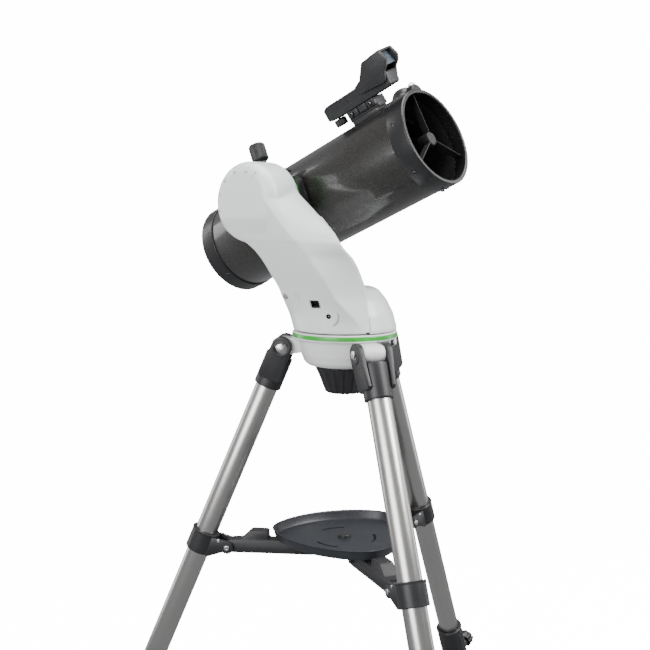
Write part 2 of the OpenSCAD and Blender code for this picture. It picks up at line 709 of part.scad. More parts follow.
tripod_head();
hinge_bolts();
mount_base();
green_trim_ring();
azimuth_worm_wheel();
fastening_knob();
for (i = [1:leg_count]) {
    leg_bracket(i);
    outer_tube(i);
    spreader_clamp(i);
    leg_sleeve(i);
    inner_leg(i);
    rubber_foot(i);
    leg_knob(i);
    spreader_arm(i);
}
spreader_hub();
tray();
turntable();
arm_outer_shell();
arm_rear_cover();
azimuth_motor();
azimuth_worm();
altitude_motor();
altitude_worm();
altitude_shaft();
control_board();
arm_sockets();
power_button();
altitude_ring();
saddle();
saddle_jaw();
saddle_knob();
optical_tube();
front_ring();
rear_cell();
primary_mirror();
spider();
secondary_mirror();
dovetail_bar();
focuser_body();
drawtube();
focus_knobs();
finder_mount();
finder_body();
finder_dial();
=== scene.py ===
import json
import math

import bmesh
import bpy
from mathutils import Matrix, Vector


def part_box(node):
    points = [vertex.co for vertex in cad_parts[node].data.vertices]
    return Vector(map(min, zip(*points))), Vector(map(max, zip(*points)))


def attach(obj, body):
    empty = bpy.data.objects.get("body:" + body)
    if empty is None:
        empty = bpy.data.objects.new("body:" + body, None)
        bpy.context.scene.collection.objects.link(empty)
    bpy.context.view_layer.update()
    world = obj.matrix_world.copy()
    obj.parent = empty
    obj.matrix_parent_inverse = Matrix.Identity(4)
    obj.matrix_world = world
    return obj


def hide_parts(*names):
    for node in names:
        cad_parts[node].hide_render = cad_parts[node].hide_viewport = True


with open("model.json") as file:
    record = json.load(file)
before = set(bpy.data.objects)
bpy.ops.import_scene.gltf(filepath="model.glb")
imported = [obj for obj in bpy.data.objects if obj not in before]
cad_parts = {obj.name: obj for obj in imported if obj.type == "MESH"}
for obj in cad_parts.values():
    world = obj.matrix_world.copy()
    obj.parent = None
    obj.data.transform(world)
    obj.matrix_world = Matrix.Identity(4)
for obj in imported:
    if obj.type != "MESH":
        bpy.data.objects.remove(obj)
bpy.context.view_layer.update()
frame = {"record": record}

MM = 0.001
LEGS = (1, 2, 3)
Y, Z = Vector((0, 1, 0)), Vector((0, 0, 1))
J = {j["name"]: j for j in frame["record"]["behaviour"]["joints"]}


def sind(a):
    return math.sin(math.radians(a))


def cosd(a):
    return math.cos(math.radians(a))


def shift(x=0.0, y=0.0, z=0.0):
    return Matrix.Translation((x, y, z))


def spin(deg, axis):
    return Matrix.Rotation(math.radians(deg), 4, axis)


def basis(origin, x, y, z):
    """Matrix with the given origin and unit axes."""
    m = Matrix((x, y, z)).transposed().to_4x4()
    m.translation = origin
    return m


def at(m, x=0, y=0, z=0):
    """A frame moved by millimetres along its own axes."""
    return m @ Matrix.Translation(Vector((x, y, z)) * MM)


def lerp(a, b, t):
    return a + (b - a) * t


# ---------------------------------------------------------------- frames taken from the record
def joint_at(name):
    return Vector(J[name]["pos_m"])


def joint_axis(name):
    return Vector(J[name]["axis"]).normalized()


AZ, ALT = joint_at("azimuth"), joint_at("altitude")
hinge_z = joint_at("leg_fold_1").z
HEAD = Matrix.Translation(Vector((AZ.x, AZ.y, hinge_z)))
ARM = HEAD
U = joint_axis("dovetail_slide")
W = U.cross(Y)
tube_lo, tube_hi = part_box("optical_tube")
tube_mid = Vector((ALT.x, (tube_lo.y + tube_hi.y) / 2, ALT.z))
shaft_mid = Vector((ALT.x, AZ.y, ALT.z))
TUBE = basis(tube_mid, U, Y, W)
TUBE_Z = basis(tube_mid, W, -Y, U)
SADDLE = basis(shaft_mid, U, Y, W)
ALT_M = Matrix.Translation(shaft_mid)
LEG, OUTWARD, RADIAL = {}, {}, {}
for i in LEGS:
    t = joint_axis("leg_fold_%d" % i)
    up = -joint_axis("leg_extension_%d" % i)
    LEG[i] = basis(joint_at("leg_fold_%d" % i), t.cross(up), t, up)
    OUTWARD[i] = t.cross(Z)
    RADIAL[i] = basis(Vector((0, 0, 0)), OUTWARD[i], t, Z)


# ---------------------------------------------------------------- materials
def material(name, base, rough, metal=0.0, coat=0.0, coat_rough=0.1, ior=1.5, aniso=0.0,
             vary=0.06, vary_scale=8.0, grain_scale=900.0, grain=0.02, stretch=(1, 1, 1),
             rough_vary=0.05, flake=None, bump_mm=0.05, dust=0.0):
    """Principled surface with slow and fine colour variation, varied roughness and a fine grain."""
    m = bpy.data.materials.new(name)
    m.use_nodes = True
    nt = m.node_tree
    nt.nodes.clear()
    n = nt.nodes.new
    out = n("ShaderNodeOutputMaterial")
    b = n("ShaderNodeBsdfPrincipled")
    nt.links.new(b.outputs["BSDF"], out.inputs["Surface"])
    for socket, value in (("Metallic", metal), ("IOR", ior), ("Coat Weight", coat),
                          ("Coat Roughness", coat_rough), ("Anisotropic", aniso)):
        b.inputs[socket].default_value = value
    where = n("ShaderNodeTexCoord").outputs["Object"]
    mp = n("ShaderNodeMapping")
    mp.inputs["Scale"].default_value = stretch
    nt.links.new(where, mp.inputs["Vector"])

    def noise(scale, detail, vec, rough_=0.55):
        t = n("ShaderNodeTexNoise")
        for socket, value in (("Scale", scale), ("Detail", detail), ("Roughness", rough_)):
            t.inputs[socket].default_value = value
        nt.links.new(vec, t.inputs["Vector"])
        return t.outputs["Fac"]

    def ranged(fac, lo, hi, a=0.3, z=0.7):
        r = n("ShaderNodeMapRange")
        for socket, value in (("From Min", a), ("From Max", z), ("To Min", lo), ("To Max", hi)):
            r.inputs[socket].default_value = value
        nt.links.new(fac, r.inputs["Value"])
        return r.outputs["Result"]

    def mix(fac, c1, c2):
        x = n("ShaderNodeMix")
        x.data_type = "RGBA"
        for sock, c in ((x.inputs[6], c1), (x.inputs[7], c2)):
            if hasattr(c, "links"):
                nt.links.new(c, sock)
            else:
                sock.default_value = (*c, 1)
        nt.links.new(fac, x.inputs[0])
        return x.outputs[2]

    big = noise(vary_scale, 4, where)
    fine = noise(grain_scale, 6, mp.outputs["Vector"], 0.65)
    dark = [c * (1 - vary) for c in base]
    light = [min(1, c * (1 + vary)) for c in base]
    col = mix(ranged(big, 0, 1), dark, light)
    col = mix(ranged(fine, 0, vary * 1.2), col, [min(1, c * 1.25 + 0.004) for c in base])
    if flake:
        cells, amount, tint = flake
        f = n("ShaderNodeTexVoronoi")
        f.inputs["Scale"].default_value = cells
        nt.links.new(where, f.inputs["Vector"])
        sep = n("ShaderNodeSeparateColor")
        nt.links.new(f.outputs["Color"], sep.inputs["Color"])
        col = mix(ranged(sep.outputs[0], 0, amount, 0.55, 1.0), col, tint)
    if dust:
        d = noise(vary_scale * 5, 8, where, 0.7)
        col = mix(ranged(d, 0, dust, 0.45, 0.75), col, (0.35, 0.34, 0.33))
    nt.links.new(col, b.inputs["Base Color"])
    add = n("ShaderNodeMath")
    add.operation = "ADD"
    add.use_clamp = True
    slow = noise(vary_scale * 2.5, 5, where)
    nt.links.new(ranged(slow, rough - rough_vary, rough + rough_vary), add.inputs[0])
    nt.links.new(ranged(fine, -rough_vary * 0.6, rough_vary * 0.6), add.inputs[1])
    nt.links.new(add.outputs[0], b.inputs["Roughness"])
    bump = n("ShaderNodeBump")
    bump.inputs["Strength"].default_value = min(1.0, grain * 10)
    bump.inputs["Distance"].default_value = bump_mm * MM
    nt.links.new(fine, bump.inputs["Height"])
    nt.links.new(bump.outputs["Normal"], b.inputs["Normal"])
    return m


WHITE = material("white_enamel", (0.86, 0.885, 0.88), 0.34, coat=0.35, coat_rough=0.22, vary=0.015,
                 grain_scale=700, bump_mm=0.04, rough_vary=0.04)
WHITE_BASE = material("white_moulding", (0.82, 0.83, 0.82), 0.40, coat=0.15, coat_rough=0.3, vary=0.02,
                      grain=0.03)
GREEN = material("green_trim", (0.022, 0.40, 0.03), 0.30, coat=0.5, coat_rough=0.15, vary=0.08,
                 grain_scale=500)
TUBE_PAINT = material("tube_paint", (0.0115, 0.0105, 0.0100), 0.30, coat=0.85, coat_rough=0.09, vary=0.12,
                      flake=(1500, 0.55, (0.075, 0.068, 0.060)), grain_scale=1500, grain=0.03)
RING_PAINT = material("ring_paint", (0.012, 0.012, 0.013), 0.34, coat=0.25, coat_rough=0.25, vary=0.1,
                      grain_scale=1200, grain=0.04, bump_mm=0.06)
INSIDE = material("inner_black", (0.010, 0.010, 0.011), 0.62, vary=0.15, grain_scale=700, grain=0.06)
PLASTIC = material("black_plastic", (0.017, 0.017, 0.019), 0.42, vary=0.10, grain_scale=1400, grain=0.07,
                   bump_mm=0.08, dust=0.015)
TRAY = material("tray_plastic", (0.020, 0.022, 0.027), 0.40, vary=0.12, grain_scale=1100, grain=0.09,
                bump_mm=0.10, dust=0.02)
GREY = material("dark_casting", (0.055, 0.055, 0.058), 0.42, metal=0.3, vary=0.08, grain=0.06)
STEEL = material("brushed_tube", (0.52, 0.51, 0.495), 0.30, metal=1.0, vary=0.03, vary_scale=3,
                 grain_scale=150, stretch=(1, 1, 0.03), grain=0.03, bump_mm=0.004, rough_vary=0.03, aniso=0.3)
SCREW = material("plated_screw", (0.62, 0.62, 0.63), 0.26, metal=1.0, vary=0.08, grain=0.04)
DARK_SCREW = material("dark_screw", (0.09, 0.09, 0.095), 0.30, metal=0.9, vary=0.1, grain=0.04)
RUBBER = material("foot_rubber", (0.020, 0.020, 0.020), 0.72, vary=0.15, grain_scale=600, grain=0.10,
                  dust=0.05)
BRASS = material("machined_brass", (0.62, 0.45, 0.20), 0.28, metal=1.0, vary=0.08, grain_scale=500,
                 stretch=(1, 1, 6), grain=0.05)
MIRROR = material("mirror_coat", (0.90, 0.91, 0.93), 0.03, metal=1.0, vary=0.01, grain_scale=300,
                  grain=0.002, rough_vary=0.01)
BOARD = material("circuit_board", (0.02, 0.12, 0.05), 0.40, vary=0.25, vary_scale=60, grain=0.05)
PORT = material("port_black", (0.012, 0.012, 0.013), 0.38, vary=0.1, grain_scale=1200, grain=0.04)
BUTTON = material("grey_button", (0.30, 0.31, 0.32), 0.38, vary=0.05, grain=0.04)
# Mid grey on the raised marks of the white arm: painted shade standing in for the shading of their relief.
RELIEF_PAINTED_SHADE = material("relief_painted_shade_grey", (0.50, 0.52, 0.52), 0.42, vary=0.02, grain=0.03)
GLASS = material("finder_window", (0.10, 0.13, 0.16), 0.06, coat=1.0, coat_rough=0.02, vary=0.03,
                 grain_scale=600, grain=0.003, rough_vary=0.02)


# ---------------------------------------------------------------- mesh helpers
SIDE = spin(90, "X")        # an outline in X and Z, extruded along -Y
ACROSS = spin(90, "Y")      # an outline or a lathe about X
ALONG = Matrix(((0, 0, 1, 0), (1, 0, 0, 0), (0, 1, 0, 0), (0, 0, 0, 1)))    # an outline in Y and Z, along X


def finish(bm, name, m, mat, body, reps=(), sharp=32.0):
    """Clean a mesh made in millimetres and put it in the scene in frame m, on its body."""
    bmesh.ops.remove_doubles(bm, verts=bm.verts, dist=1e-4)
    bmesh.ops.dissolve_degenerate(bm, dist=1e-5, edges=bm.edges)
    bmesh.ops.delete(bm, geom=[v for v in bm.verts if not v.link_faces], context="VERTS")
    bmesh.ops.recalc_face_normals(bm, faces=bm.faces)
    bmesh.ops.scale(bm, vec=(MM,) * 3, verts=bm.verts)
    lim = math.radians(sharp)
    for f in bm.faces:
        f.smooth = True
    for e in bm.edges:
        e.smooth = not (len(e.link_faces) == 2 and e.calc_face_angle(0) > lim)
    o = link(name, bm)
    o.matrix_world = m
    o.data.materials.append(mat)
    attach(o, body)
    if reps:
        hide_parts(*reps)
    return o


def link(name, bm):
    """Object in the scene from a bmesh, which is freed."""
    me = bpy.data.meshes.new(name)
    bm.to_mesh(me)
    bm.free()
    o = bpy.data.objects.new(name, me)
    bpy.context.scene.collection.objects.link(o)
    return o


def fillet(pts, r, steps=4):
    """Round the corners of a closed 2-D outline. r is one radius or one for each corner."""
    out = []
    n = len(pts)
    for k in range(n):
        p = Vector(pts[k][:2])
        rad = r[min(k, len(r) - 1)] if isinstance(r, (list, tuple)) else r
        va, vb = Vector(pts[k - 1][:2]) - p, Vector(pts[(k + 1) % n][:2]) - p
        la, lb = va.length, vb.length
        if rad <= 0 or la < 1e-6 or lb < 1e-6:
            out.append(p)
            continue
        va, vb = va / la, vb / lb
        ang = math.acos(max(-1, min(1, va.dot(vb))))
        if ang > math.radians(176):
            out.append(p)
            continue
        d = min(rad / math.tan(ang / 2), la * 0.45, lb * 0.45)
        rr = d * math.tan(ang / 2)
        c = p + (va + vb).normalized() * (rr / math.sin(ang / 2))
        s, e = p + va * d - c, p + vb * d - c
        a0, a1 = math.atan2(s.y, s.x), math.atan2(e.y, e.x)
        da = (a1 - a0 + math.pi) % (2 * math.pi) - math.pi
        for j in range(steps + 1):
            t = a0 + da * j / steps
            out.append(c + Vector((math.cos(t), math.sin(t))) * rr)
    return out


def arc(cx, cy, r, a0, a1, step):
    """Points of an arc at whole degrees, as range() counts them."""
    return [(cx + r * cosd(a), cy + r * sind(a)) for a in range(a0, a1, step)]


def lobed(r, n, wave=0.0, lobes=0):
    """Circle of n points, with a wave for a lobed or fluted rim."""
    return [((r + wave * math.cos(lobes * a)) * math.cos(a), (r + wave * math.cos(lobes * a)) * math.sin(a))
            for a in (2 * math.pi * k / n for k in range(n))]


def box_outline(w, d, r=1.0, cx=0.0, cy=0.0, steps=3):
    return fillet([(cx - w / 2, cy - d / 2), (cx + w / 2, cy - d / 2), (cx + w / 2, cy + d / 2),
                   (cx - w / 2, cy + d / 2)], r, steps)


def points(bm, pts, m=Matrix()):
    return [bm.verts.new(m @ Vector(p)) for p in pts]


def stitch(bm, rings, loop=False):
    """Faces between closed rings. A ring of one vertex makes a fan, and loop joins the last to the first."""
    for a, b in zip(rings, rings[1:] + rings[:1] * loop):
        n = max(len(a), len(b))
        for k in range(n if n > 1 else 0):
            j = (k + 1) % n
            if len(a) == 1:
                bm.faces.new((a[0], b[k], b[j]))
            elif len(b) == 1:
                bm.faces.new((a[k], b[0], a[j]))
            else:
                bm.faces.new((a[k], b[k], b[j], a[j]))


def loft_bm(bm, sections):
    """Closed solid through sections that all have the same number of points."""
    rings = [points(bm, s) for s in sections]
    stitch(bm, rings)
    bm.faces.new(rings[0][::-1])
    bm.faces.new(rings[-1])


def circle_3d(r, z, seg):
    return [(r * cosd(360 * k / seg), r * sind(360 * k / seg), z) for k in range(seg)]


def lathe_bm(bm, profile, m=Matrix(), seg=96, closed=True):
    """Turn a profile of (radius, height) about local Z. closed joins the last point to the first."""
    rings = [points(bm, circle_3d(r, z, seg) if r >= 1e-4 else [(0, 0, z)], m) for r, z in profile]
    stitch(bm, rings, closed)


def rod_bm(bm, r, z0, z1, m=Matrix(), seg=28):
    lathe_bm(bm, [(0, z0), (r, z0), (r, z1), (0, z1)], m, seg, closed=False)


def lathe(name, profile, m, mat, body, reps=(), seg=96, r=0.6, sharp=40.0):
    bm = bmesh.new()
    lathe_bm(bm, fillet(profile, r, 3), seg=seg)
    return finish(bm, name, m, mat, body, reps, sharp)


def prism_bm(bm, outline, z0, z1, bevel=0.6, m=Matrix(), seg=2):
    """Extrude a 2-D outline with rounded rims."""
    t = bmesh.new()
    loft_bm(t, [[(p[0], p[1], z) for p in outline] for z in (z0, z1)])
    bmesh.ops.recalc_face_normals(t, faces=t.faces)
    if bevel > 0:
        edges = [e for e in t.edges if e.calc_face_angle(0) > math.radians(50)]
        bmesh.ops.bevel(t, geom=edges, offset=bevel, segments=seg, profile=0.5, affect="EDGES",
                        clamp_overlap=True)
    me = bpy.data.meshes.new("tmp")
    t.to_mesh(me)
    t.free()
    me.transform(m)
    bm.from_mesh(me)
    bpy.data.meshes.remove(me)


def cut_flat(bm, co, no):
    """Cut away what lies in front of a plane. The opening is left open."""
    return bmesh.ops.bisect_plane(bm, geom=bm.verts[:] + bm.edges[:] + bm.faces[:], plane_co=co,
                                  plane_no=no, clear_inner=True)


def fill_holes(bm):
    bmesh.ops.holes_fill(bm, edges=[e for e in bm.edges if len(e.link_faces) == 1], sides=0)


def screw_head(bm, m, r=3.0, h=1.6, socket=1.4):
    """Pan head with a socket, standing on local Z = 0."""
    lathe_bm(bm, [(0, -0.4), (r, -0.4), (r, h * 0.45), (r * 0.86, h * 0.86), (r * 0.62, h), (socket, h),
                  (socket * 0.95, h * 0.35), (0, h * 0.35)], m, 28, closed=False)


def side_screws(bm, places, r, h, socket):
    """Screws on both sides of a part, at (x, y, z) and its mirror in y."""
    for x, y, z in places:
        for s in (1, -1):
            screw_head(bm, shift(x, s * y, z) @ spin(-90 * s, "X"), r, h, socket)


def knurled(name, r, z0, z1, count, depth, m, mat, body, reps, chamfer, rows, dish):
    """Knob with a straight knurled rim and dished ends along local Z."""
    bm = bmesh.new()
    seg = count * 4
    high = z1 - z0 - 2 * chamfer
    zs = [z0, z0 + 0.1] + [z0 + chamfer + high * k / rows for k in range(rows + 1)] + [z1 - 0.1, z1]
    rings = []
    for j, z in enumerate(zs):
        if j < 2 or j > len(zs) - 3:
            radii = [r - chamfer - (0.4 if j in (0, len(zs) - 1) else 0)] * seg
        else:
            radii = [r - depth * (1 - sind(180 * (k % 4) / 4)) for k in range(seg)]
        rings.append(points(bm, [(rr * cosd(360 * k / seg), rr * sind(360 * k / seg), z)
                                 for k, rr in enumerate(radii)]))
    stitch(bm, rings)
    for ring, z, s in ((rings[0], z0, 1), (rings[-1], z1, -1)):
        inner = points(bm, [(v.co.x * 0.72, v.co.y * 0.72, z + s * dish * 0.2) for v in ring])
        stitch(bm, [ring, inner, points(bm, [(0, 0, z + s * dish)])])
    return finish(bm, name, m, mat, body, reps, sharp=50)


# ---------------------------------------------------------------- tripod head, base, fastening knob
HINGE_R, LEAN = 86.0, 22.9
EAR_IN, EAR_OUT = 16.4, 25.4

bm = bmesh.new()
bowl = [(6.4, -25.8), (44, -25.8), (52, -23.8), (56.8, -19), (60.8, -9), (63.8, 6), (64.8, 12.8),
        (60.4, 12.8),
        (57, -8), (51, -18.6), (43, -21.3), (20, -21.3), (19.8, 12.6), (6.4, 12.6)]
lathe_bm(bm, fillet(bowl, [0.4, 3, 8, 6, 10, 10, 0.8, 0.4, 6, 6, 6, 1, 1, 1], 5), seg=160)
lug = [(-24, 12.2), (-14, 12.4), (-5, 11.6)] + arc(0, 0, 11.9, 90, -91, -12) + [(-6, -11.6), (-27, -8)]
for i in LEGS:
    prism_bm(bm, lug[::-1], -15.9, 15.9, 1.0, RADIAL[i] @ shift(HINGE_R) @ SIDE, 3)
finish(bm, "tripod_head_skin", HEAD, WHITE_BASE, "head", ["tripod_head"], 38)

lathe("mount_base_skin", [(5.2, 13.1), (71.6, 13.1), (72.5, 14), (72.5, 15.5), (66, 15.5), (66, 20.8),
                          (72.5, 20.8), (72.5, 22.2), (71.6, 23), (14, 23), (14, 62), (5.2, 62)],
      HEAD, WHITE_BASE, "head", ["mount_base"], 160, 0.5)
lathe("green_trim_skin", [(66.1, 15.55), (72.9, 15.55), (73.3, 16.1), (73.3, 20.2), (72.9, 20.75),
                          (66.1, 20.75)],
      HEAD, GREEN, "head", ["green_trim_ring"], 160, 0.35)

bm = bmesh.new()
for i in LEGS:
    hinge = RADIAL[i] @ shift(HINGE_R)
    for s in (1, -1):
        m = hinge @ shift(0, s * (EAR_OUT - 0.9)) @ spin(-90 * s, "X")
        prism_bm(bm, fillet(arc(0, 0, 6.0, 12, 372, 60), 0.5, 2), 0.1, 3.3, 0.5, m)
        lathe_bm(bm, [(0, 0), (7.4, 0), (7.4, 0.45), (7.0, 0.7), (0, 0.7)], m, 36, closed=False)
    rod_bm(bm, 4, -24.5, 24.5, hinge @ SIDE, 32)
finish(bm, "hinge_bolts_skin", HEAD, SCREW, "head", ["hinge_bolts"], 35)

# Fluted knob under the head
FLUTES, FLUTE_STEPS, FLUTE_DEEP = 18, 12, 2.1


def flute(k, r, z):
    """Depth of the flutes at step k of the ring at radius r and height z."""
    if r <= 22 or z >= -27:
        return 0.0
    deep = max(0.0, math.cos(2 * math.pi * ((k % FLUTE_STEPS) / FLUTE_STEPS - 0.5))) ** 0.7 * FLUTE_DEEP
    return deep * (0.3 if z > -30 else 1)


bm = bmesh.new()
seg = FLUTES * FLUTE_STEPS
rings = [points(bm, [(0, 0, -53)])]
for r, z in ((18, -53.2), (19.6, -54.5), (20.2, -62), (21.4, -63.6), (24.8, -63.8), (26.6, -63), (27.8, -61),
             (30.6, -54), (34.2, -44), (38, -35), (40.8, -29.4), (41.6, -27.8), (41, -26.7), (39, -26.5)):
    rings.append(points(bm, [((r - flute(k, r, z)) * cosd(360 * k / seg),
                              (r - flute(k, r, z)) * sind(360 * k / seg), z) for k in range(seg)]))
rings.append(points(bm, [(0, 0, -26.5)]))
stitch(bm, rings)
lathe_bm(bm, [(0, -50), (4.9, -50), (4.9, 39.5), (0, 40)], seg=32, closed=False)
finish(bm, "fastening_knob_skin", HEAD, PLASTIC, "fastening", ["fastening_knob"], 40)


# ---------------------------------------------------------------- legs
def bracket(i, m, body):
    """Sleeve with two ears that taper into it, and a raised rim and dark recess round each bolt head."""
    bm = bmesh.new()
    lathe_bm(bm, fillet([(16.3, -61.8), (19.0, -61.8), (19.4, -60.5), (19.4, -50), (19.4, -20), (19.2, -14.6),
                         (17.4, -14.2), (0.001, -14.2), (0.001, -17.9), (16.3, -17.9)],
                        [0.6, 0.6, 1, 3, 3, 2.2, 1, 0, 0, 0.5], 4))
    ear = [(-14.3, -3)] + arc(0, 0, 14.85, 168, 11, -8)
    ear += [(14.3, -3), (16.9, -46), (13, -50), (-13, -50), (-16.9, -46)]
    rims = [shift(0, s * EAR_OUT) @ spin(-90 * s, "X") for s in (1, -1)]
    for s, rim in zip((1, -1), rims):
        done = len(bm.verts)
        z0, z1 = (-EAR_OUT, -EAR_IN) if s > 0 else (EAR_IN, EAR_OUT)
        prism_bm(bm, ear[::-1], z0 + 0.1, z1 - 0.1, 1.3, SIDE, 3)
        bm.verts.ensure_lookup_table()
        for v in bm.verts[done:]:
            low = max(0.0, (-14 - v.co.z) / 36)
            v.co.y -= s * 5.6 * low if abs(v.co.y) > 20 else 0.12 * low * v.co.y
        lathe_bm(bm, [(10.6, -0.6), (10.6, -0.1), (11.2, 0.0), (13.0, 0.0), (13.6, -0.3), (13.6, -0.6)], rim,
                 48)
    finish(bm, "leg_bracket_%d_skin" % i, m, PLASTIC, body, ["leg_bracket_%d" % i], 35)
    bm = bmesh.new()
    for rim in rims:
        lathe_bm(bm, [(4.2, -1.1), (10.5, -1.1), (10.5, -0.5), (10.0, -0.05), (9.4, -0.35), (4.2, -0.35)],
                 rim, 48)
    finish(bm, "leg_bracket_%d_recess" % i, m, PORT, body, (), 35)


def leg_tubes(i, m, body):
    lathe("outer_tube_%d_skin" % i, [(16, -600), (16, -18.2), (14.7, -18.2), (14.7, -600)], m, STEEL, body,
          ["outer_tube_%d" % i], 128, 0.25)
    lathe("inner_leg_%d_skin" % i, [(12.65, -672.5), (12.65, -130), (11.5, -130), (11.5, -672.5)], m, STEEL,
          "lower_leg_%d" % i, ["inner_leg_%d" % i], 96, 0.25)


def spreader_clamp(i, m, body):
    """Band with rolled lips, two ears towards the middle, and its screws."""
    bm = bmesh.new()
    lathe_bm(bm, fillet([(16.3, -324.9), (19.2, -324.9), (19.9, -324), (19.9, -296.6), (20.3, -295),
                         (20.6, -293.6), (19.6, -293.1), (16.3, -293.1)],
                        [0.5, 0.8, 0.8, 1.5, 0.8, 0.5, 0.5, 0.5], 4))
    q = (m.inverted() @ joint_at("spreader_fold_%d" % i)) / MM
    ear = [(-12, -296), (-12, -324.5), (-18, -324.5), (q.x + 3, q.z - 8.4), (q.x - 3, q.z - 8.7)]
    ear += arc(q.x, q.z, 8.9, 250, 79, -17)
    for y0, y1 in ((10.5, 14.9), (-14.9, -10.5)):
        prism_bm(bm, ear, -y1, -y0, 0.9, SIDE, 2)
    prism_bm(bm, fillet([(-20.5, -300), (-20.5, -321), (-14, -321), (-14, -300)], 1, 2), -10.6, 10.6, 0.8,
             SIDE)
    finish(bm, "spreader_clamp_%d_skin" % i, m, PLASTIC, body, ["spreader_clamp_%d" % i], 35)
    bm = bmesh.new()
    side_screws(bm, [(q.x, 15.0, q.z)], 4.1, 2.1, 1.7)
    side_screws(bm, [(-23.5, 14.9, q.z + 5)], 2.6, 1.4, 1.1)
    rod_bm(bm, 2.4, -15, 15, shift(q.x, 0, q.z) @ SIDE)
    finish(bm, "spreader_clamp_%d_screws" % i, m, SCREW, body, (), 35)


BOSS_Z = -612       # height of the clamp knob on the lower sleeve


def sleeve(i, m, body):
    """Ribbed lower sleeve with the boss of its clamp knob, and two small screws."""
    bm = bmesh.new()
    lathe_bm(bm, fillet([(12.8, -631.8), (20.6, -631.8), (21.3, -630.8), (21.3, -628.6), (20.4, -627.6),
                         (20.4, -554.6), (21.3, -553.6), (21.3, -551.8), (20.4, -551.2), (16.3, -551.2),
                         (16.3, -600), (12.8, -600)], 0.7, 3))
    lathe_bm(bm, fillet([(3.1, 14), (8.9, 14), (8.9, 28.8), (3.1, 28.8)], 0.7, 3), shift(z=BOSS_Z) @ ACROSS,
             48)
    for k in range(14):
        a = 360 * k / 14
        if 20.2 * cosd(a) <= 12:
            rib = shift(20.2 * cosd(a), 20.2 * sind(a)) @ spin(a, "Z")
            prism_bm(bm, box_outline(1.2, 2.2, 0.4), -622, -562, 0.3, rib, 1)
    finish(bm, "leg_sleeve_%d_skin" % i, m, PLASTIC, body, ["leg_sleeve_%d" % i], 35)
    bm = bmesh.new()
    for z in (-566, -578):
        screw_head(bm, shift(z=z) @ spin(-50, "Z") @ shift(20.3) @ ACROSS, 2.0, 0.9, 0.8)
    finish(bm, "leg_sleeve_%d_screws" % i, m, SCREW, body, (), 35)


def clamp_knob(i, m):
    bm = bmesh.new()
    prism_bm(bm, lobed(12.1, 120, 0.8, 8), 30.1, 44.9, 1.5, Matrix(), 3)
    rod_bm(bm, 2.9, 13.2, 31)
    finish(bm, "leg_knob_%d_skin" % i, at(m, z=BOSS_Z) @ ACROSS, PLASTIC, "clamp_knob_%d" % i,
                ["leg_knob_%d" % i], 30)


def spreader_arm(i):
    """Two cheeks of one outline, a lid over them, and cross ribs: hollow from below."""
    m = basis(joint_at("spreader_fold_%d" % i), -OUTWARD[i], -joint_axis("leg_fold_%d" % i), Z)
    bm = bmesh.new()
    side = fillet([(-7.6, 2), (-4, 7.4), (0, 8.0), (6, 11), (20, 11.6), (34, 24.8), (55.5, 24.8),
                   (58.8, 23.6),
                   (58.8, 12.4), (94, 12.4), (108, 9.2), (123, 7), (129.8, 3), (129.8, -3), (123, -6.9),
                   (60, -7.2), (0, -7.7), (-6.4, -4.6)],
                  [2, 2, 3, 6, 6, 4, 2.2, 1.5, 3, 8, 6, 4, 4, 4, 8, 4, 3], 4)
    for y0, y1 in ((-9.9, -8.1), (8.1, 9.9)):
        prism_bm(bm, side, y0, y1, 0.5, SIDE)
    lid = fillet([(9, 10.6), (20, 11.4), (34, 24.6), (55.5, 24.6), (58.6, 23.4), (58.6, 12.2), (93, 12.2),
                  (93, 10.2), (56.6, 10.2), (56.4, 22.4), (34.8, 22.4), (21, 9.4), (9, 8.8)],
                 [0.3, 6, 5, 4, 2, 1, 0.3, 0.3, 1, 2, 4, 5, 0.3], 3)
    prism_bm(bm, lid, -8.4, 8.4, 0.15, SIDE, 1)
    prism_bm(bm, fillet([(-7, -5), (9, -7), (9, 10), (2, 9), (-6, 4)], 2, 3), -8.3, 8.3, 0.2, SIDE, 1)
    for x in (24, 44, 72):
        prism_bm(bm, [(x, -6.4), (x + 1.6, -6.4), (x + 1.6, 10.4), (x, 10.4)], -8.2, 8.2, 0.0, SIDE)
    finish(bm, "spreader_arm_%d_skin" % i, m, PLASTIC, "spreader_%d" % i, ["spreader_arm_%d" % i],
                32)


def rubber_foot(i, m):
    """Ribbed boot round the end of the inner leg, cut off by the floor."""
    length = hinge_z / cosd(LEAN) / MM
    prof = [(12.72, -length + 22), (12.72, -652.2), (15.2, -652.2), (15.9, -653)]
    z = -655.0
    while z > -length + 15:
        prof += [(15.9, z), (15.2, z - 0.6), (15.2, z - 1.6), (15.9, z - 2.2)]
        z -= 5.5
    prof += [(16.6, -length + 13.6), (17.3, -length + 10), (18.7, -length - 9), (18.9, -length - 11.9),
             (0, -length - 11.9), (0, -length + 22)]
    bm = bmesh.new()
    lathe_bm(bm, prof)
    down = m.inverted()
    no = (down.to_3x3() @ Z).normalized()
    bmesh.ops.recalc_face_normals(bm, faces=bm.faces)
    res = cut_flat(bm, down @ Vector((0, 0, 0)) / MM + no * 0.05, no)
    bmesh.ops.contextual_create(bm, geom=[e for e in res["geom_cut"] if isinstance(e, bmesh.types.BMEdge)])
    finish(bm, "rubber_foot_%d_skin" % i, m, RUBBER, "lower_leg_%d" % i, ["rubber_foot_%d" % i], 30)


for i in LEGS:
    body = "leg_%d" % i
    bracket(i, LEG[i], body)
    leg_tubes(i, LEG[i], body)
    spreader_clamp(i, LEG[i], body)
    sleeve(i, LEG[i], body)
    clamp_knob(i, LEG[i])
    spreader_arm(i)
for i in LEGS:
    rubber_foot(i, LEG[i])


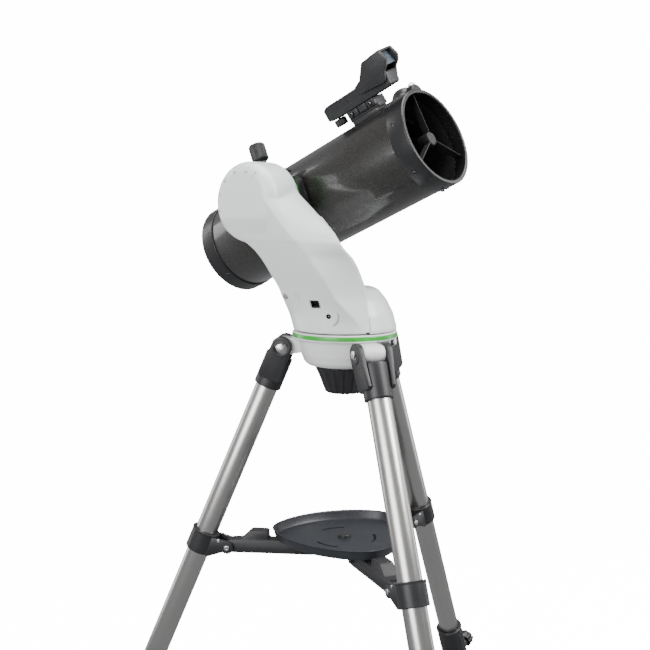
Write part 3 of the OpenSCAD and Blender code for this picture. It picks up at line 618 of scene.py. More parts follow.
# ---------------------------------------------------------------- spreader hub and tray
HUB = Matrix.Translation(Vector((AZ.x, AZ.y, joint_at("spreader_fold_1").z)))
PIN_R = 45
bm = bmesh.new()
lathe_bm(bm, fillet([(0.001, -8.9), (17.9, -8.9), (17.9, 14.9), (8, 14.9), (7.9, 22.9), (0.001, 22.9)],
                    [0, 1.2, 1.2, 0.6, 1, 0], 3), seg=64)
lug = [(12, -5.9), (PIN_R, -5.9)] + arc(PIN_R, 0, 5.9, -80, 81, 16) + [(PIN_R, 5.9), (12, 5.9)]
for i in LEGS:
    prism_bm(bm, lug, -7.3, 7.3, 0.7, RADIAL[i] @ SIDE)
    lathe_bm(bm, [(0, -12.8), (3.6, -12.8), (4.4, -12.0), (4.4, -11.0), (2.4, -11.0), (2.4, 11.0),
                  (4.4, 11.0),
                  (4.4, 12.0), (3.6, 12.8), (0, 12.8)], RADIAL[i] @ shift(PIN_R) @ SIDE, 32, closed=False)
finish(bm, "spreader_hub_skin", HUB, PLASTIC, "hub", ["spreader_hub"], 35)

TIP_R, SIDE_R, SIDE_AT = 105.0, 140.7, 51.7     # the rim: blunt tips towards the legs, joined by wide arcs
TRAY_Z, TRAY_T, TRAY_SEG = 16.0, 2.5, 240
SLOT = (41.5, 45.5)                             # radii of the three curved finger slots
SLOT_HALF = 24                                  # half their angle
leg_angles = [math.degrees(math.atan2(OUTWARD[i].y, OUTWARD[i].x)) for i in LEGS]


def tray_radius(a):
    """Distance of the tray's rim from the axis in direction a, in degrees."""
    best = TIP_R
    for la in leg_angles:
        c = SIDE_AT * cosd(a - la)
        r = c + math.sqrt(c ** 2 - SIDE_AT ** 2 + SIDE_R ** 2)
        best = -3.0 * math.log(math.exp(-best / 3.0) + math.exp(-r / 3.0))
    return best


def in_slot(a):
    return any(abs((a - la - 60 + 180) % 360 - 180) < SLOT_HALF for la in leg_angles)


bm = bmesh.new()
# The tray's section, as (radius, height) for the floor and (offset from the rim, height) for the lip
under = [(r, 0) for r in (8.3, 20, *SLOT, 60, 74)]
lip = [(-9.0, 0.0), (-5.6, 1.2), (-3.6, 5.0), (-1.6, 12.6), (-0.2, 13.8), (-0.1, 14.6), (-0.7, 15.0),
       (-1.9, 14.7),
       (-3.6, 13.6), (-5.6, 6.0), (-7.4, 3.2), (-10.5, TRAY_T)]
upper = [(r, TRAY_T) for r in (74, 60, *SLOT[::-1], 20, 9.4)] + [(9.2, 4.6), (8.3, 4.6)]
angles = [360 * k / TRAY_SEG for k in range(TRAY_SEG)]
rim_r = [tray_radius(a) for a in angles]
loop = []
for rows, on_rim in ((under, False), (lip, True), (upper, False)):
    for r, z in rows:
        radii = [r + e for e in rim_r] if on_rim else [r] * TRAY_SEG
        ring = points(bm, [(e * cosd(a), e * sind(a), TRAY_Z + z) for a, e in zip(angles, radii)])
        loop.append((None if on_rim else r, ring))
for (ra, a_), (rb, b_) in zip(loop, loop[1:] + loop[:1]):
    for k in range(TRAY_SEG):
        if {ra, rb} == set(SLOT) and in_slot(360 * (k + 0.5) / TRAY_SEG):
            continue
        j = (k + 1) % TRAY_SEG
        bm.faces.new((a_[k], a_[j], b_[j], b_[k]))
# Walls of the slots, between the open edges of the floor's two faces


def plan_key(v):
    return tuple(round(c, 3) for c in (v.co.x, v.co.y))


border = [e for e in bm.edges if len(e.link_faces) == 1]
low = {plan_key(v): v for e in border for v in e.verts if v.co.z < TRAY_Z + 1}
high = {plan_key(v): v for e in border for v in e.verts if v.co.z > TRAY_Z + 1}
for e in border:
    if e.verts[0].co.z < TRAY_Z + 1:
        k0, k1 = [plan_key(v) for v in e.verts]
        bm.faces.new((low[k0], low[k1], high[k1], high[k0]))
finish(bm, "tray_skin", HUB, TRAY, "tray", ["tray"], 32)


# ---------------------------------------------------------------- arm
HEAD_X, HEAD_Z = -74.0, 198.6
HEAD_R, HEAD_OUT, HEAD_IN = 54.0, -128.0, -72.0
HEAD_ROUND = 17                 # rounding of the head's broad face
ARM_Z = 24.3
NECK_Z, FACE_Y = 146, -113.0    # where the lower arm ends, and its broad face there
# Sections of the arm: height, then the rear-left, front-left, crease and rear-right corners in plan,
# the bulge of the broad face, and the rounding of those four corners
ROWS = [
    (24.4, (-66.6, -26), (-59.4, -40.5), (64.6, -31), (66.6, -26), 35.2, (0.5, 1, 1.5, 0.6)),
    (34, (-64.5, -26), (-57, -47), (60, -40), (65.8, -26), 28.0, (1, 8, 2, 1)),
    (48, (-61, -26), (-53.5, -58), (54, -52), (64.8, -26), 17.0, (2, 12, 4, 2)),
    (61, (-57.6, -26), (-51, -69), (47, -63), (63.8, -26), 9.0, (2, 12, 6, 3)),
    (74, (-55, -26), (-50, -78), (40, -74), (63.3, -26), 4.0, (3, 12, 7, 4)),
    (86, (-55, -28), (-51, -84), (36.5, -82), (63.6, -28), 2.4, (4, 13, 8, 5)),
    (101, (-58, -37), (-56, -91.5), (33, -90.5), (63.7, -34), 1.6, (5, 14, 9, 6)),
    (114, (-62, -47), (-60, -98), (28, -97.5), (64.6, -41.5), 1.2, (6, 15, 10, 6)),
    (127, (-68, -59), (-66, -104), (21.5, -104), (65, -51), 1.0, (7, 16, 11, 6)),
    (137, (-75, -67), (-73.5, -109), (17, -109), (62.6, -63.5), 0.8, (6, 17, 12, 5)),
    (NECK_Z, (-86, -72), (-84, -113), (12, -113.2), (57.3, -72), 0.6, (4, 18, 13, 3)),
]


def flat(row):
    return [c for p in row[1:5] for c in p] + [row[5]] + list(row[6])


def row_at(z):
    """Corners, bulge and rounding of the arm at height z, on a smooth curve through the rows."""
    zs = [r[0] for r in ROWS]
    last = len(zs) - 1
    z = max(zs[0], min(zs[-1], z))
    k = max(j for j in range(last) if zs[j] <= z + 1e-6)
    t = (z - zs[k]) / (zs[k + 1] - zs[k])
    out = []
    for a, b, c, d in zip(*(flat(ROWS[max(0, min(last, j))]) for j in (k - 1, k, k + 1, k + 2))):
        m1 = c - b if k == 0 else (c - a) / 2
        m2 = c - b if k + 2 > last else (d - b) / 2
        out.append((2 * t ** 3 - 3 * t ** 2 + 1) * b + (t ** 3 - 2 * t ** 2 + t) * m1 +
                   (-2 * t ** 3 + 3 * t ** 2) * c + (t ** 3 - t ** 2) * m2)
    return [Vector(out[j:j + 2]) for j in (0, 2, 4, 6)], out[8], out[9:13]


def resampled(pts, n, z):
    """n points evenly spaced round an outline, at height z."""
    closed = pts + [pts[0]]
    acc = [0.0]
    for p, q in zip(closed, closed[1:]):
        acc.append(acc[-1] + (q - p).length)
    out = []
    for k in range(n):
        s = acc[-1] * k / n
        j = max(x for x in range(len(acc) - 1) if acc[x] <= s + 1e-9)
        p = closed[j].lerp(closed[j + 1], (s - acc[j]) / max(1e-9, acc[j + 1] - acc[j]))
        out.append((p.x, p.y, z))
    return out


def arm_section(z):
    """Outline of the lower arm at height z, with its broad face bulged between the two front corners."""
    c, bulge, rad = row_at(z)
    mid, d = (c[1] + c[2]) / 2, c[2] - c[1]
    half = d.length / 2
    nrm = Vector((d.y, -d.x)).normalized()
    big = (half * half + bulge * bulge) / (2 * bulge)
    centre = mid - nrm * (big - bulge)
    face = []
    for k in range(1, 10):
        th = math.asin(half / big) * (2 * k / 10 - 1)
        face.append(centre + (nrm * math.cos(th) + d.normalized() * math.sin(th)) * big)
    return resampled(fillet(c[:2] + face + c[2:], rad[:2] + [0] * len(face) + rad[2:], 8), 160, z)


def along(z, pts):
    """Value at z on a line through (z, value) points."""
    for (z0, v0), (z1, v1) in zip(pts, pts[1:]):
        if z <= z1:
            return v0 + (v1 - v0) * max(0.0, (z - z0) / (z1 - z0))
    return pts[-1][1]


def head_half(z):
    """Half width of the head's disc at height z."""
    return math.sqrt(max(0.0, HEAD_R ** 2 - min(HEAD_R - 0.6, abs(z - HEAD_Z)) ** 2))


def neck_section(z):
    """Outline of the neck at height z, between the lower arm and the head's disc."""
    left_in = HEAD_X - head_half(z) + 0.3
    if z < 166:
        left_in = lerp(-86.0, HEAD_X - head_half(166) + 0.3, ((z - NECK_Z) / 20) ** 0.8)
    right_in = along(z, ((NECK_Z, 57.3), (158.5, 47.3), (173, 29.8), (187.2, 12.3), (199, -2.9), (210, -17.0),
                         (216, -21)))
    right_out = along(z, ((NECK_Z, 12), (214, -33)))
    y_out = lerp(-113.6, HEAD_OUT + 0.2, min(1, (z - NECK_Z) / (214 - NECK_Z) * 1.25) ** 0.75)
    poly = [(left_in, HEAD_IN), (left_in + 1.5, y_out), (right_out, y_out - 0.3), (right_in, HEAD_IN)]
    return resampled(fillet(poly, [1.5, 18, 15, 3], 8), 120, z)


def outward(bm):
    bmesh.ops.recalc_face_normals(bm, faces=bm.faces)
    return bm


def evaluated(o):
    """Bmesh of an object with its modifiers applied."""
    dg = bpy.context.evaluated_depsgraph_get()
    dg.update()
    me = bpy.data.meshes.new_from_object(o.evaluated_get(dg))
    bm = bmesh.new()
    bm.from_mesh(me)
    bpy.data.meshes.remove(me)
    return bm


def drop_object(o):
    me = o.data
    bpy.data.objects.remove(o)
    bpy.data.meshes.remove(me)


lower, head, neck = bmesh.new(), bmesh.new(), bmesh.new()
loft_bm(lower, [arm_section(z) for z in [24.4, 26, 29] + [32 + 3 * k for k in range(39)]])
disc = fillet([(0.001, -HEAD_OUT), (HEAD_R, -HEAD_OUT), (HEAD_R, -HEAD_IN), (0.001, -HEAD_IN)],
              [0, HEAD_ROUND, 1.2, 0], 14)
disc[1:1] = [Vector((r, -HEAD_OUT)) for r in range(2, int(HEAD_R - HEAD_ROUND), 2)]
lathe_bm(head, disc, shift(HEAD_X, 0, HEAD_Z) @ SIDE, 200, closed=False)
for v in head.verts:
    # The lower part of the head's face runs on into the slope of the arm
    v.co.y = max(v.co.y, FACE_Y - 0.47 * max(0.0, v.co.z - NECK_Z))
loft_bm(neck, [neck_section(NECK_Z + 2 * k) for k in range(35)])

# Join, remesh and soften the blends between the three
bm = bmesh.new()
for part in (lower, head, neck):
    o = link("arm_part", outward(part))
    bm.from_mesh(o.data)
    drop_object(o)
joined = link("arm_join", outward(bm))
md = joined.modifiers.new("grid", "REMESH")
md.mode = "VOXEL"
md.voxel_size = 1.5
md = joined.modifiers.new("soft", "SMOOTH")
md.factor = 0.5
md.iterations = 9
bm = evaluated(joined)
drop_object(joined)
base = link("arm_base", outward(bm))
bpy.context.view_layer.update()


def face_frame(x, z):
    """Frame on the arm's broad face at x, z: local Z points out of the face, local Y up."""
    _, p, n, _ = base.ray_cast(Vector((x, -200, z)), Vector((0, 1, 0)))
    xa = (Vector((1, 0, 0)) - n * n.x).normalized()
    return basis(p, xa, n.cross(xa), n)


def cutter(outline, z0, z1, m):
    t = bmesh.new()
    prism_bm(t, outline, z0, z1, 0.0, m)
    return link("cutter", outward(t))


SOCKET, JACK = face_frame(10, 64.5), face_frame(26.5, 48.5)
KEY, RING = face_frame(-40, 72.5), face_frame(-18, 74.6)
cuts = [cutter(box_outline(13.4, 11.0, 0.8), -9, 6, SOCKET), cutter(lobed(3.4, 36), -8, 6, JACK),
        cutter(lobed(4.15, 40), -9, 6, KEY),
        cutter(box_outline(9.2, 4.6, 2.25, steps=8), -2.9, 6, face_frame(-49.7, 235) @ spin(48, "Z")),
        cutter(fillet([(60.9, ARM_Z - 1), (66.4, ARM_Z - 1), (66.4, ARM_Z + 2.6), (60.9, ARM_Z + 2.6)], 0.5,
                      2),
               20, 40, SIDE)]
for c in cuts:
    md = base.modifiers.new("cut", "BOOLEAN")
    md.object = c
    md.operation = "DIFFERENCE"
    md.solver = "EXACT"
finish(evaluated(base), "arm_outer_shell_skin", ARM, WHITE, "arm", ["arm_outer_shell"], 48)
for o in cuts + [base]:
    drop_object(o)

# Rear cover: a dome over the azimuth drive, with a lid up the tube side of the arm
COVER_Y = -25.3
bm = bmesh.new()
dome = fillet([(0, 23.5), (71.7, 24.6), (71.8, 29), (66.6, 48.5), (57.5, 66.5), (46.5, 80), (38, 83.8),
               (0, 83.8)],
              [0, 0.8, 4, 30, 30, 16, 12, 0], 6)
dome[0] = Vector((0.0, 24.6))
lathe_bm(bm, dome, seg=192, closed=False)
cut_flat(bm, (0, COVER_Y, 0), (0, 1, 0))
fill_holes(bm)
rim = [e for e in bm.edges if len(e.link_faces) == 2 and e.calc_face_angle(0) > math.radians(60)
       and all(abs(v.co.y - COVER_Y) < 0.01 for v in e.verts)]
bmesh.ops.bevel(bm, geom=rim, offset=0.5, segments=2, profile=0.5, affect="EDGES", clamp_overlap=True)
finish(bm, "arm_rear_cover_skin", ARM, WHITE, "arm", ["arm_rear_cover"], 40)
bm = bmesh.new()
lid = arc(HEAD_X, HEAD_Z, 53.2, -2, 214, 6) + [(-84, 145), (52, 145), (41, 159), (20, 179)]
prism_bm(bm, lid, 72.0, 74.0, 0.5, SIDE)
finish(bm, "arm_lid_skin", ARM, WHITE, "arm", (), 35)

# Turntable, drives and board
lathe("turntable_skin", [(14.1, 24.4), (67.8, 24.4), (67.8, 27.2), (24, 27.2), (23.8, 36.2), (14.1, 36.2)],
      ARM, GREY,
      "arm", ["turntable"], 128, 0.5)
WHEEL_R, TEETH, TOOTH_STEPS, TOOTH = 35.9, 60, 6, 1.1
bm = bmesh.new()
seg = TEETH * TOOTH_STEPS
toothed = [WHEEL_R - TOOTH * (0.5 - 0.5 * cosd(360 * k / TOOTH_STEPS)) for k in range(seg)]
rings = [points(bm, [(r * cosd(360 * k / seg), r * sind(360 * k / seg), z) for k, r in enumerate(toothed)])
         for z in (40.2, 46.8)]
rings += [points(bm, circle_3d(r, z, seg)) for r, z in ((20, 46.8), (19.8, 53.8), (14.1, 53.8), (14.1, 40.2))]
stitch(bm, rings, True)
finish(bm, "azimuth_wheel_skin", HEAD, BRASS, "head", ["azimuth_worm_wheel"], 30)


def worm(name, m, r, half, shaft_lo, shaft_hi, pitch=3.2, steps=120, seg=28):
    """Worm about local X on its shaft: a helical wave runs round it."""
    sections = []
    for k in range(steps + 1):
        x = -half + 2 * half * k / steps
        radii = [r - 1.2 * (0.5 + 0.5 * math.cos(2 * math.pi * x / pitch - 2 * math.pi * j / seg))
                 if 0 < k < steps else r - 1.6 for j in range(seg)]
        sections.append([(x, rr * cosd(360 * j / seg), rr * sind(360 * j / seg)) for j,
                         rr in enumerate(radii)])
    bm = bmesh.new()
    loft_bm(bm, sections)
    rod_bm(bm, 2.95, shaft_lo, shaft_hi, ACROSS, 24)
    finish(bm, name + "_skin", m, SCREW, name, [name], 40)


wx = joint_axis("altitude_worm_turn")
WORM = basis(joint_at("altitude_worm_turn"), wx, Y, wx.cross(Y))
worm("azimuth_worm", Matrix.Translation(joint_at("azimuth_worm_turn")), 6.25, 20, -27.4, 25.4)
worm("altitude_worm", WORM, 5.95, 16, -21.9, 21.9)
bm = bmesh.new()
lathe_bm(bm, fillet([(0.001, 26.1), (5, 26.1), (8.9, 27.5), (8.9, 62.5), (0.001, 63.9)], [0, 0.5, 1, 1, 0],
                    3),
         shift(z=-3) @ ACROSS, 48, closed=False)
prism_bm(bm, box_outline(13.8, 15.8, 1.5, -2, 0), 24.3, 26.1, 0.3, ACROSS)
finish(bm, "altitude_motor_skin", WORM, GREY, "arm", ["altitude_motor"], 35)
bm = bmesh.new()
prism_bm(bm, box_outline(9.6, 10.6, 1.2, 31, 40.5), 27.6, 54.2, 0.6)
prism_bm(bm, box_outline(8.6, 9.6, 1.2, -32.5, 42), 27.6, 51.2, 0.6)
finish(bm, "azimuth_motor_skin", ARM, GREY, "arm", ["azimuth_motor"], 35)
bm = bmesh.new()
prism_bm(bm, box_outline(59.6, 51.6, 2, -2, 64), 55.5, 56.9, 0.2, SIDE)
prism_bm(bm, box_outline(15.6, 15.6, 0.6, -16, 66), 52.5, 55.5, 0.3, SIDE)
for k in range(7):
    prism_bm(bm, box_outline(4, 3, 0.4, -2 + (k % 3) * 8, 46 + (k // 3) * 8), 53.6, 55.5, 0.2, SIDE)
finish(bm, "control_board_skin", ARM, BOARD, "arm", ["control_board"], 35)


# Sockets in the broad face
def frame_bm(bm, m, w, d, wall, z0, z1, r, bevel=0.25):
    """Rectangular frame with bevelled rims about local Z."""
    outer = box_outline(w, d, r, steps=4)
    inner = box_outline(w - 2 * wall, d - 2 * wall, max(0.2, r - wall * 0.6), steps=4)

    def ring(pts, grow, z):
        return points(bm, [(x * (1 + grow / w * 2), y * (1 + grow / d * 2), z) for x, y in pts], m)

    stitch(bm, [ring(outer, 0, z0), ring(outer, 0, z1 - bevel), ring(outer, -bevel, z1),
                ring(inner, bevel, z1),
                ring(inner, 0, z1 - bevel), ring(inner, 0, z0)], True)


bm = bmesh.new()
frame_bm(bm, SOCKET, 13.2, 10.8, 1.3, -7, 0.3, 1.0)
prism_bm(bm, box_outline(11, 8.6, 0.4), -7.8, -6.8, 0.1, SOCKET)
prism_bm(bm, box_outline(5.2, 1.5, 0.2, 0, -3.6), -6.8, -0.2, 0.1, SOCKET)
for k in range(6):
    prism_bm(bm, box_outline(0.45, 3.2, 0.1, -3.1 + 1.25 * k, 1.6), -6.8, -2.2, 0.0, SOCKET)
finish(bm, "controller_socket_skin", ARM, PORT, "arm", ["arm_sockets"], 35)
bm = bmesh.new()
lathe_bm(bm, [(2.5, -6.5), (3.35, -6.5), (3.35, 0.15), (3.05, 0.35), (2.7, 0.15), (2.5, -0.3)], JACK, 36)
rod_bm(bm, 3.3, -6.8, -6.3, JACK, 36)
finish(bm, "power_jack_skin", ARM, PORT, "arm", (), 35)
bm = bmesh.new()
lathe_bm(bm, [(0, -6.4), (0.95, -6.4), (0.95, -1.2), (0.6, -0.8), (0, -0.8)], JACK, 16, closed=False)
finish(bm, "power_jack_pin", ARM, SCREW, "arm", (), 35)


def arc_bar(bm, m, r, a0, a1, w, h, steps=36):
    """Raised bar that follows an arc on the face and tapers away at both ends."""
    sections = []
    for k in range(steps + 1):
        a = a0 + (a1 - a0) * k / steps
        s = max(0.15, sind(180 * k / steps) ** 0.45)
        across = [(r + cosd(b) * w * 0.5 * s, sind(b) * h * s - 0.05) for b in (22.5 * j for j in range(9))]
        sections.append([m @ Vector((rr * cosd(a), rr * sind(a), z)) for rr, z in across])
    loft_bm(bm, sections)


def face_y(r):
    """Depth of the head's broad face at a radius, following its rounded rim."""
    return HEAD_OUT + HEAD_ROUND - math.sqrt(HEAD_ROUND ** 2 - max(0.0, r - (HEAD_R - HEAD_ROUND)) ** 2)


def dial(a, r, proud=0.0):
    """Place on the head's broad face, in the direction a and at radius r."""
    return Vector((HEAD_X + r * cosd(a), face_y(r) + proud, HEAD_Z + r * sind(a)))


bm = bmesh.new()
arc_bar(bm, JACK, 13.5, -125, 40, 2.6, 0.7)
frame_bm(bm, SOCKET, 16.4, 14.0, 1.0, -0.6, 0.32, 1.6)
for k in range(5):
    prism_bm(bm, box_outline(0.7, 1.2, 0.2, -4 + 2 * k, 9.6), -0.3, 0.22, 0.1, SOCKET)
    prism_bm(bm, box_outline(0.7, 1.1, 0.2, -3 + 1.6 * k, 6.6), -0.3, 0.22, 0.1, JACK)
lathe_bm(bm, [(5.0, -0.4), (5.6, -0.4), (5.6, 0.15), (5.3, 0.3), (5.0, 0.15)], RING, 48)
lathe_bm(bm, [(2.2, -0.4), (2.7, -0.4), (2.7, 0.12), (2.45, 0.25), (2.2, 0.12)], RING, 36)
# Degree scale round the head's rear edge, standing a little proud
SCALE_A, SCALE_IN = 76, 44.6
for k in range(25):
    a = SCALE_A + 6 * k
    out = 48.6 if k % 5 == 0 else 47.0
    d, tan = Vector((cosd(a), 0, sind(a))), Vector((-sind(a), 0, cosd(a)))
    loft_bm(bm, [[dial(a, lerp(SCALE_IN, out, s / 4), 0.25) + tan * side * 0.32 - Y * h + d * h * 0.5
                  for side, h in ((-1, -0.3), (-1, 0.25), (1, 0.25), (1, -0.3))] for s in range(5)])
# The raised marks are white moulding; their mid grey is painted shade of the relief.
finish(bm, "arm_raised_marks", ARM, RELIEF_PAINTED_SHADE, "arm", (), 40)

# Numbers beside the long marks
for k, label in enumerate(("80", "60", "40", "20", "0")):
    a = SCALE_A + 30 * k
    cu = bpy.data.curves.new("digits", "FONT")
    cu.body = label
    cu.size = 5.4
    cu.extrude = 0.3
    cu.align_x = cu.align_y = "CENTER"
    tmp = bpy.data.objects.new("digits", cu)
    bpy.context.scene.collection.objects.link(tmp)
    bm = evaluated(tmp)
    bpy.data.objects.remove(tmp)
    bpy.data.curves.remove(cu)
    # the outline faces out on -Y and turns with the dial
    bm.transform(Matrix.Translation(dial(a, 40.5)) @ SIDE @ spin(a - 90, "Z"))
    # The numbers are white moulding; their mid grey is painted shade of the relief.
    finish(bm, "dial_number_%d" % k, ARM, RELIEF_PAINTED_SHADE, "arm", (), 40)

# Small grey button
bm = bmesh.new()
lathe_bm(bm, [(0, -12), (3.9, -12), (3.9, 0.9), (3.4, 1.35), (2.0, 1.5), (0, 1.5)], KEY, 40, closed=False)
finish(bm, "power_button_skin", ARM, BUTTON, "button", ["power_button"], 40)


# ---------------------------------------------------------------- altitude drive, saddle and dovetail
bm = bmesh.new()
lathe_bm(bm, fillet([(0.001, 65.1), (15.9, 65.1), (15.9, 92), (31.4, 92.1), (31.4, 101.9), (15.9, 102),
                     (15.9, 111.8), (0.001, 111.9)], [0, .5, .3, .8, .8, .3, .8, 0], 2), SIDE, 120)
finish(bm, "altitude_shaft_skin", ALT_M, BRASS, "altitude", ["altitude_shaft"], 35)
bm = bmesh.new()
lathe_bm(bm, fillet([(16.1, 65.1), (48.4, 65.1), (49.9, 66.2), (49.9, 70.2), (48.6, 71.4), (16.1, 71.4)], 0.6,
                    3),
         SIDE, 144)
for k in range(36):
    prism_bm(bm, box_outline(1.4, 1.0, 0.3, 49.2, 0, 2), 66.4, 70.1, 0.2, SIDE @ spin(10 * k, "Z"), 1)
finish(bm, "altitude_ring_skin", ALT_M, GREEN, "altitude", ["altitude_ring"], 35)

SADDLE_REAR, SADDLE_FRONT = -33.8, 29.8
bm = bmesh.new()
for z0, r, steps, y0, y1, bevel, seg in ((-35.8, 5, 5, 55.4, 64.9, 1.0, 3), (34.2, 1.2, 3, 42.4, 56, 0.8, 2)):
    wall = [(SADDLE_REAR, z0), (SADDLE_FRONT, z0), (SADDLE_FRONT, 38.8), (SADDLE_REAR, 38.8)]
    prism_bm(bm, fillet(wall, r, steps), y0, y1, bevel, SIDE, seg)
rail = fillet([(-56, -35.8), (-56, -22.4), (-42.2, -18.9), (-42.2, -35.8)], 0.8, 3)
prism_bm(bm, rail, SADDLE_REAR, SADDLE_FRONT, 0.6, ALONG)
finish(bm, "saddle_skin", SADDLE, GREY, "altitude", ["saddle"], 35)
bm = bmesh.new()
for x in (-24, 20):
    screw_head(bm, shift(x, -42.2, -29) @ spin(-90, "X"), 2.4, 0.9, 1.1)
finish(bm, "saddle_screws", SADDLE, DARK_SCREW, "altitude", (), 35)
bm = bmesh.new()
prism_bm(bm, fillet([(-55, 22.4), (-42.1, 19.1), (-42.1, 30.9), (-55, 30.9)], 0.8, 3), -31.9, 27.9, 0.6,
         ALONG)
finish(bm, "saddle_jaw_skin", SADDLE, GREY, "saddle_jaw", ["saddle_jaw"], 35)

KNOB = at(SADDLE, -10.5, -51, 0)
knurled("saddle_knob_skin", 11.9, 66.5, 91.8, 30, 0.55, KNOB, PLASTIC, "saddle_knob", ["saddle_knob"],
        2.2, 12, 0.1)
lathe("saddle_knob_stem", [(0, 33.75), (2.9, 33.75), (2.9, 44.2), (7.4, 44.2), (8.3, 45.5), (8.3, 61.5),
                           (7.0, 63.4), (7.0, 65), (9.4, 66.8), (0, 66.8)],
      KNOB, DARK_SCREW, "saddle_knob", (), 48, 0.5)

bm = bmesh.new()
prism_bm(bm, fillet([(-82.9, -21.9), (-82.9, 21.9), (-68.6, 17.9), (-68.6, -17.9)], 0.8, 3), -74.9, 41.9, 0.7,
         ALONG)
for x in (-50, 25):
    prism_bm(bm, box_outline(17.6, 27.6, 2, x, 0), 63.4, 68.4, 0.4, SIDE)
finish(bm, "dovetail_bar_skin", TUBE, RING_PAINT, "tube", ["dovetail_bar"], 35)


# ---------------------------------------------------------------- telescope tube
R, FRONT, REAR = 66.0, 221.0, -184.0
RING_LEN = 27.0
lathe("optical_tube_skin", [(R, -169.8), (R, 199.8), (R - 0.9, 199.8), (R - 0.9, -169.8)], TUBE_Z, TUBE_PAINT,
      "tube", ["optical_tube"], 256, 0.2)
lathe("tube_lining", [(R - 1.0, -152), (R - 1.0, 199), (R - 1.3, 199), (R - 1.3, -152)], TUBE_Z, INSIDE,
      "tube", (),
      192, 0.05)
lathe("front_ring_skin", [(R + r, FRONT - z) for r, z in
                          ((0.05, RING_LEN), (1.5, RING_LEN), (1.5, 1.6), (0.5, 0.1), (-3.2, 0.1),
                           (-4.1, 1.0),
                           (-4.1, 4), (-1.3, 6), (-1.3, 20.6), (0.05, 20.6))],
      TUBE_Z, RING_PAINT, "tube", ["front_ring"], 256, 0.7)
lathe("rear_cell_skin", [(R + r, REAR + z) for r, z in
                         ((0.05, RING_LEN), (1.4, RING_LEN), (1.5, RING_LEN - 1), (1.5, 4), (-1.5, 0.2),
                          (-8, 0.1),
                          (-8, 3), (-1.5, 5), (-1.5, 13.4), (0.05, 13.4))],
      TUBE_Z, RING_PAINT, "tube", ["rear_cell"], 256, 1.6)

# Back plate with three openings
PLATE_SEG, OPEN_FROM, OPEN_TO = 180, 36, 84     # each third of the plate is open between two angles
outside, inside = REAR + 2.2, REAR + 7.6
bm = bmesh.new()
rings = [points(bm, circle_3d(r, z, PLATE_SEG)) for r, z in
         ((58.3, REAR + 2.4), (47, outside), (20, outside), (20, inside), (47, inside), (58.3, inside))]
for n, (a, b) in enumerate(zip(rings, rings[1:] + rings[:1])):
    for k in range(PLATE_SEG):
        opening = OPEN_FROM < (360 * (k + 0.5) / PLATE_SEG) % 120 < OPEN_TO
        j = (k + 1) % PLATE_SEG
        if not (n in (1, 3) and opening):
            bm.faces.new((a[k], a[j], b[j], b[k]))
        if n == 1 and opening:
            bm.faces.new((a[k], a[j], rings[4][j], rings[4][k]))
for ring, z in ((rings[2], outside), (rings[3], inside)):
    stitch(bm, [ring, points(bm, [(0, 0, z)])])
for k in range(PLATE_SEG):
    if (360 * k // PLATE_SEG) % 120 in (OPEN_FROM, OPEN_TO):
        bm.faces.new([ring[k] for ring in rings[1:5]])
finish(bm, "rear_cell_plate", TUBE_Z, RING_PAINT, "tube", (), 35)

bm = bmesh.new()
for k in range(3):
    for off, r, h in ((0, 4.4, 2.0), (14, 3.0, 1.4)):
        screw_head(bm, spin(120 * k + off, "Z") @ shift(40, 0, outside) @ spin(180, "X"), r, h, r * 0.45)
for k in range(6):
    for z in (FRONT - 18.3, REAR + 19.5):
        screw_head(bm, spin(13 - 60 * k, "Z") @ shift(R + 1.1, 0, z) @ ACROSS, 3.0, 1.0, 1.3)
screw_head(bm, spin(-178, "Z") @ shift(R + 1.1, 0, FRONT - 18.3) @ ACROSS, 2.7, 3.6, 1.1)
finish(bm, "cell_screws", TUBE_Z, DARK_SCREW, "tube", (), 35)
lathe("rear_seam", [(R + r, REAR + RING_LEN + z) for r, z in ((0.02, 0.05), (0.3, 0.05), (0.3, 0.7),
                                                              (0.02, 0.7))],
      TUBE_Z, INSIDE, "tube", (), 192, 0.05)
bm = bmesh.new()
mirror = [(0.001, -165.8), (56.2, -165.8), (56.3, -165), (56.3, -153.6), (55.6, -153.0)]
mirror += [(56.2 * k / 12, -154.8 + 1.8 * (k / 12) ** 2) for k in range(11, -1, -1)]
lathe_bm(bm, mirror, seg=128, closed=False)
finish(bm, "primary_mirror_skin", TUBE_Z, MIRROR, "tube", ["primary_mirror"], 30)

# Spider: hub, three thin vanes and the diagonal holder
VANE, FACE = R - 10.6, FRONT - 7.1
bm = bmesh.new()
lathe_bm(bm, fillet([(0.001, FRONT - 25.8), (8.2, FRONT - 25.8), (9.4, FRONT - 24.6), (9.4, FRONT - 8.4),
                     (8.2, FACE),
                     (0.001, FACE)], [0, 0.8, 0.8, 0.8, 0.8, 0], 3), seg=64)
rod_bm(bm, 2.9, FRONT - 58, FRONT - 25, seg=24)
for k in range(3):
    prism_bm(bm, box_outline(VANE, 1.1, 0.3, 9 + VANE / 2, 0), FRONT - 16.9, FACE, 0.2,
             spin(9 + 120 * k, "Z"), 1)
finish(bm, "spider_skin", TUBE_Z, INSIDE, "tube", ["spider"], 35)
bm = bmesh.new()
for a in (90, 210, 330):
    screw_head(bm, spin(a, "Z") @ shift(5.4, 0, FACE), 1.7, 0.5, 0.8)
finish(bm, "spider_screws", TUBE_Z, DARK_SCREW, "tube", (), 35)
FOC = at(TUBE, FRONT - 70) @ spin(-40, "X")
bm = bmesh.new()
rod_bm(bm, 12.8, -14, 12.8, ACROSS, 64)
cut_flat(bm, (2.5, 0, 0), (1, 0, -1))
fill_holes(bm)
finish(bm, "diagonal_holder", FOC, INSIDE, "tube", (), 35)
bm = bmesh.new()
prism_bm(bm, [(x * math.sqrt(2), y) for x, y in lobed(13.3, 64)], -1.1, 1.4, 0.2,
         spin(135, "Y") @ spin(180, "X"))
finish(bm, "secondary_mirror_skin", FOC, MIRROR, "tube", ["secondary_mirror"], 35)

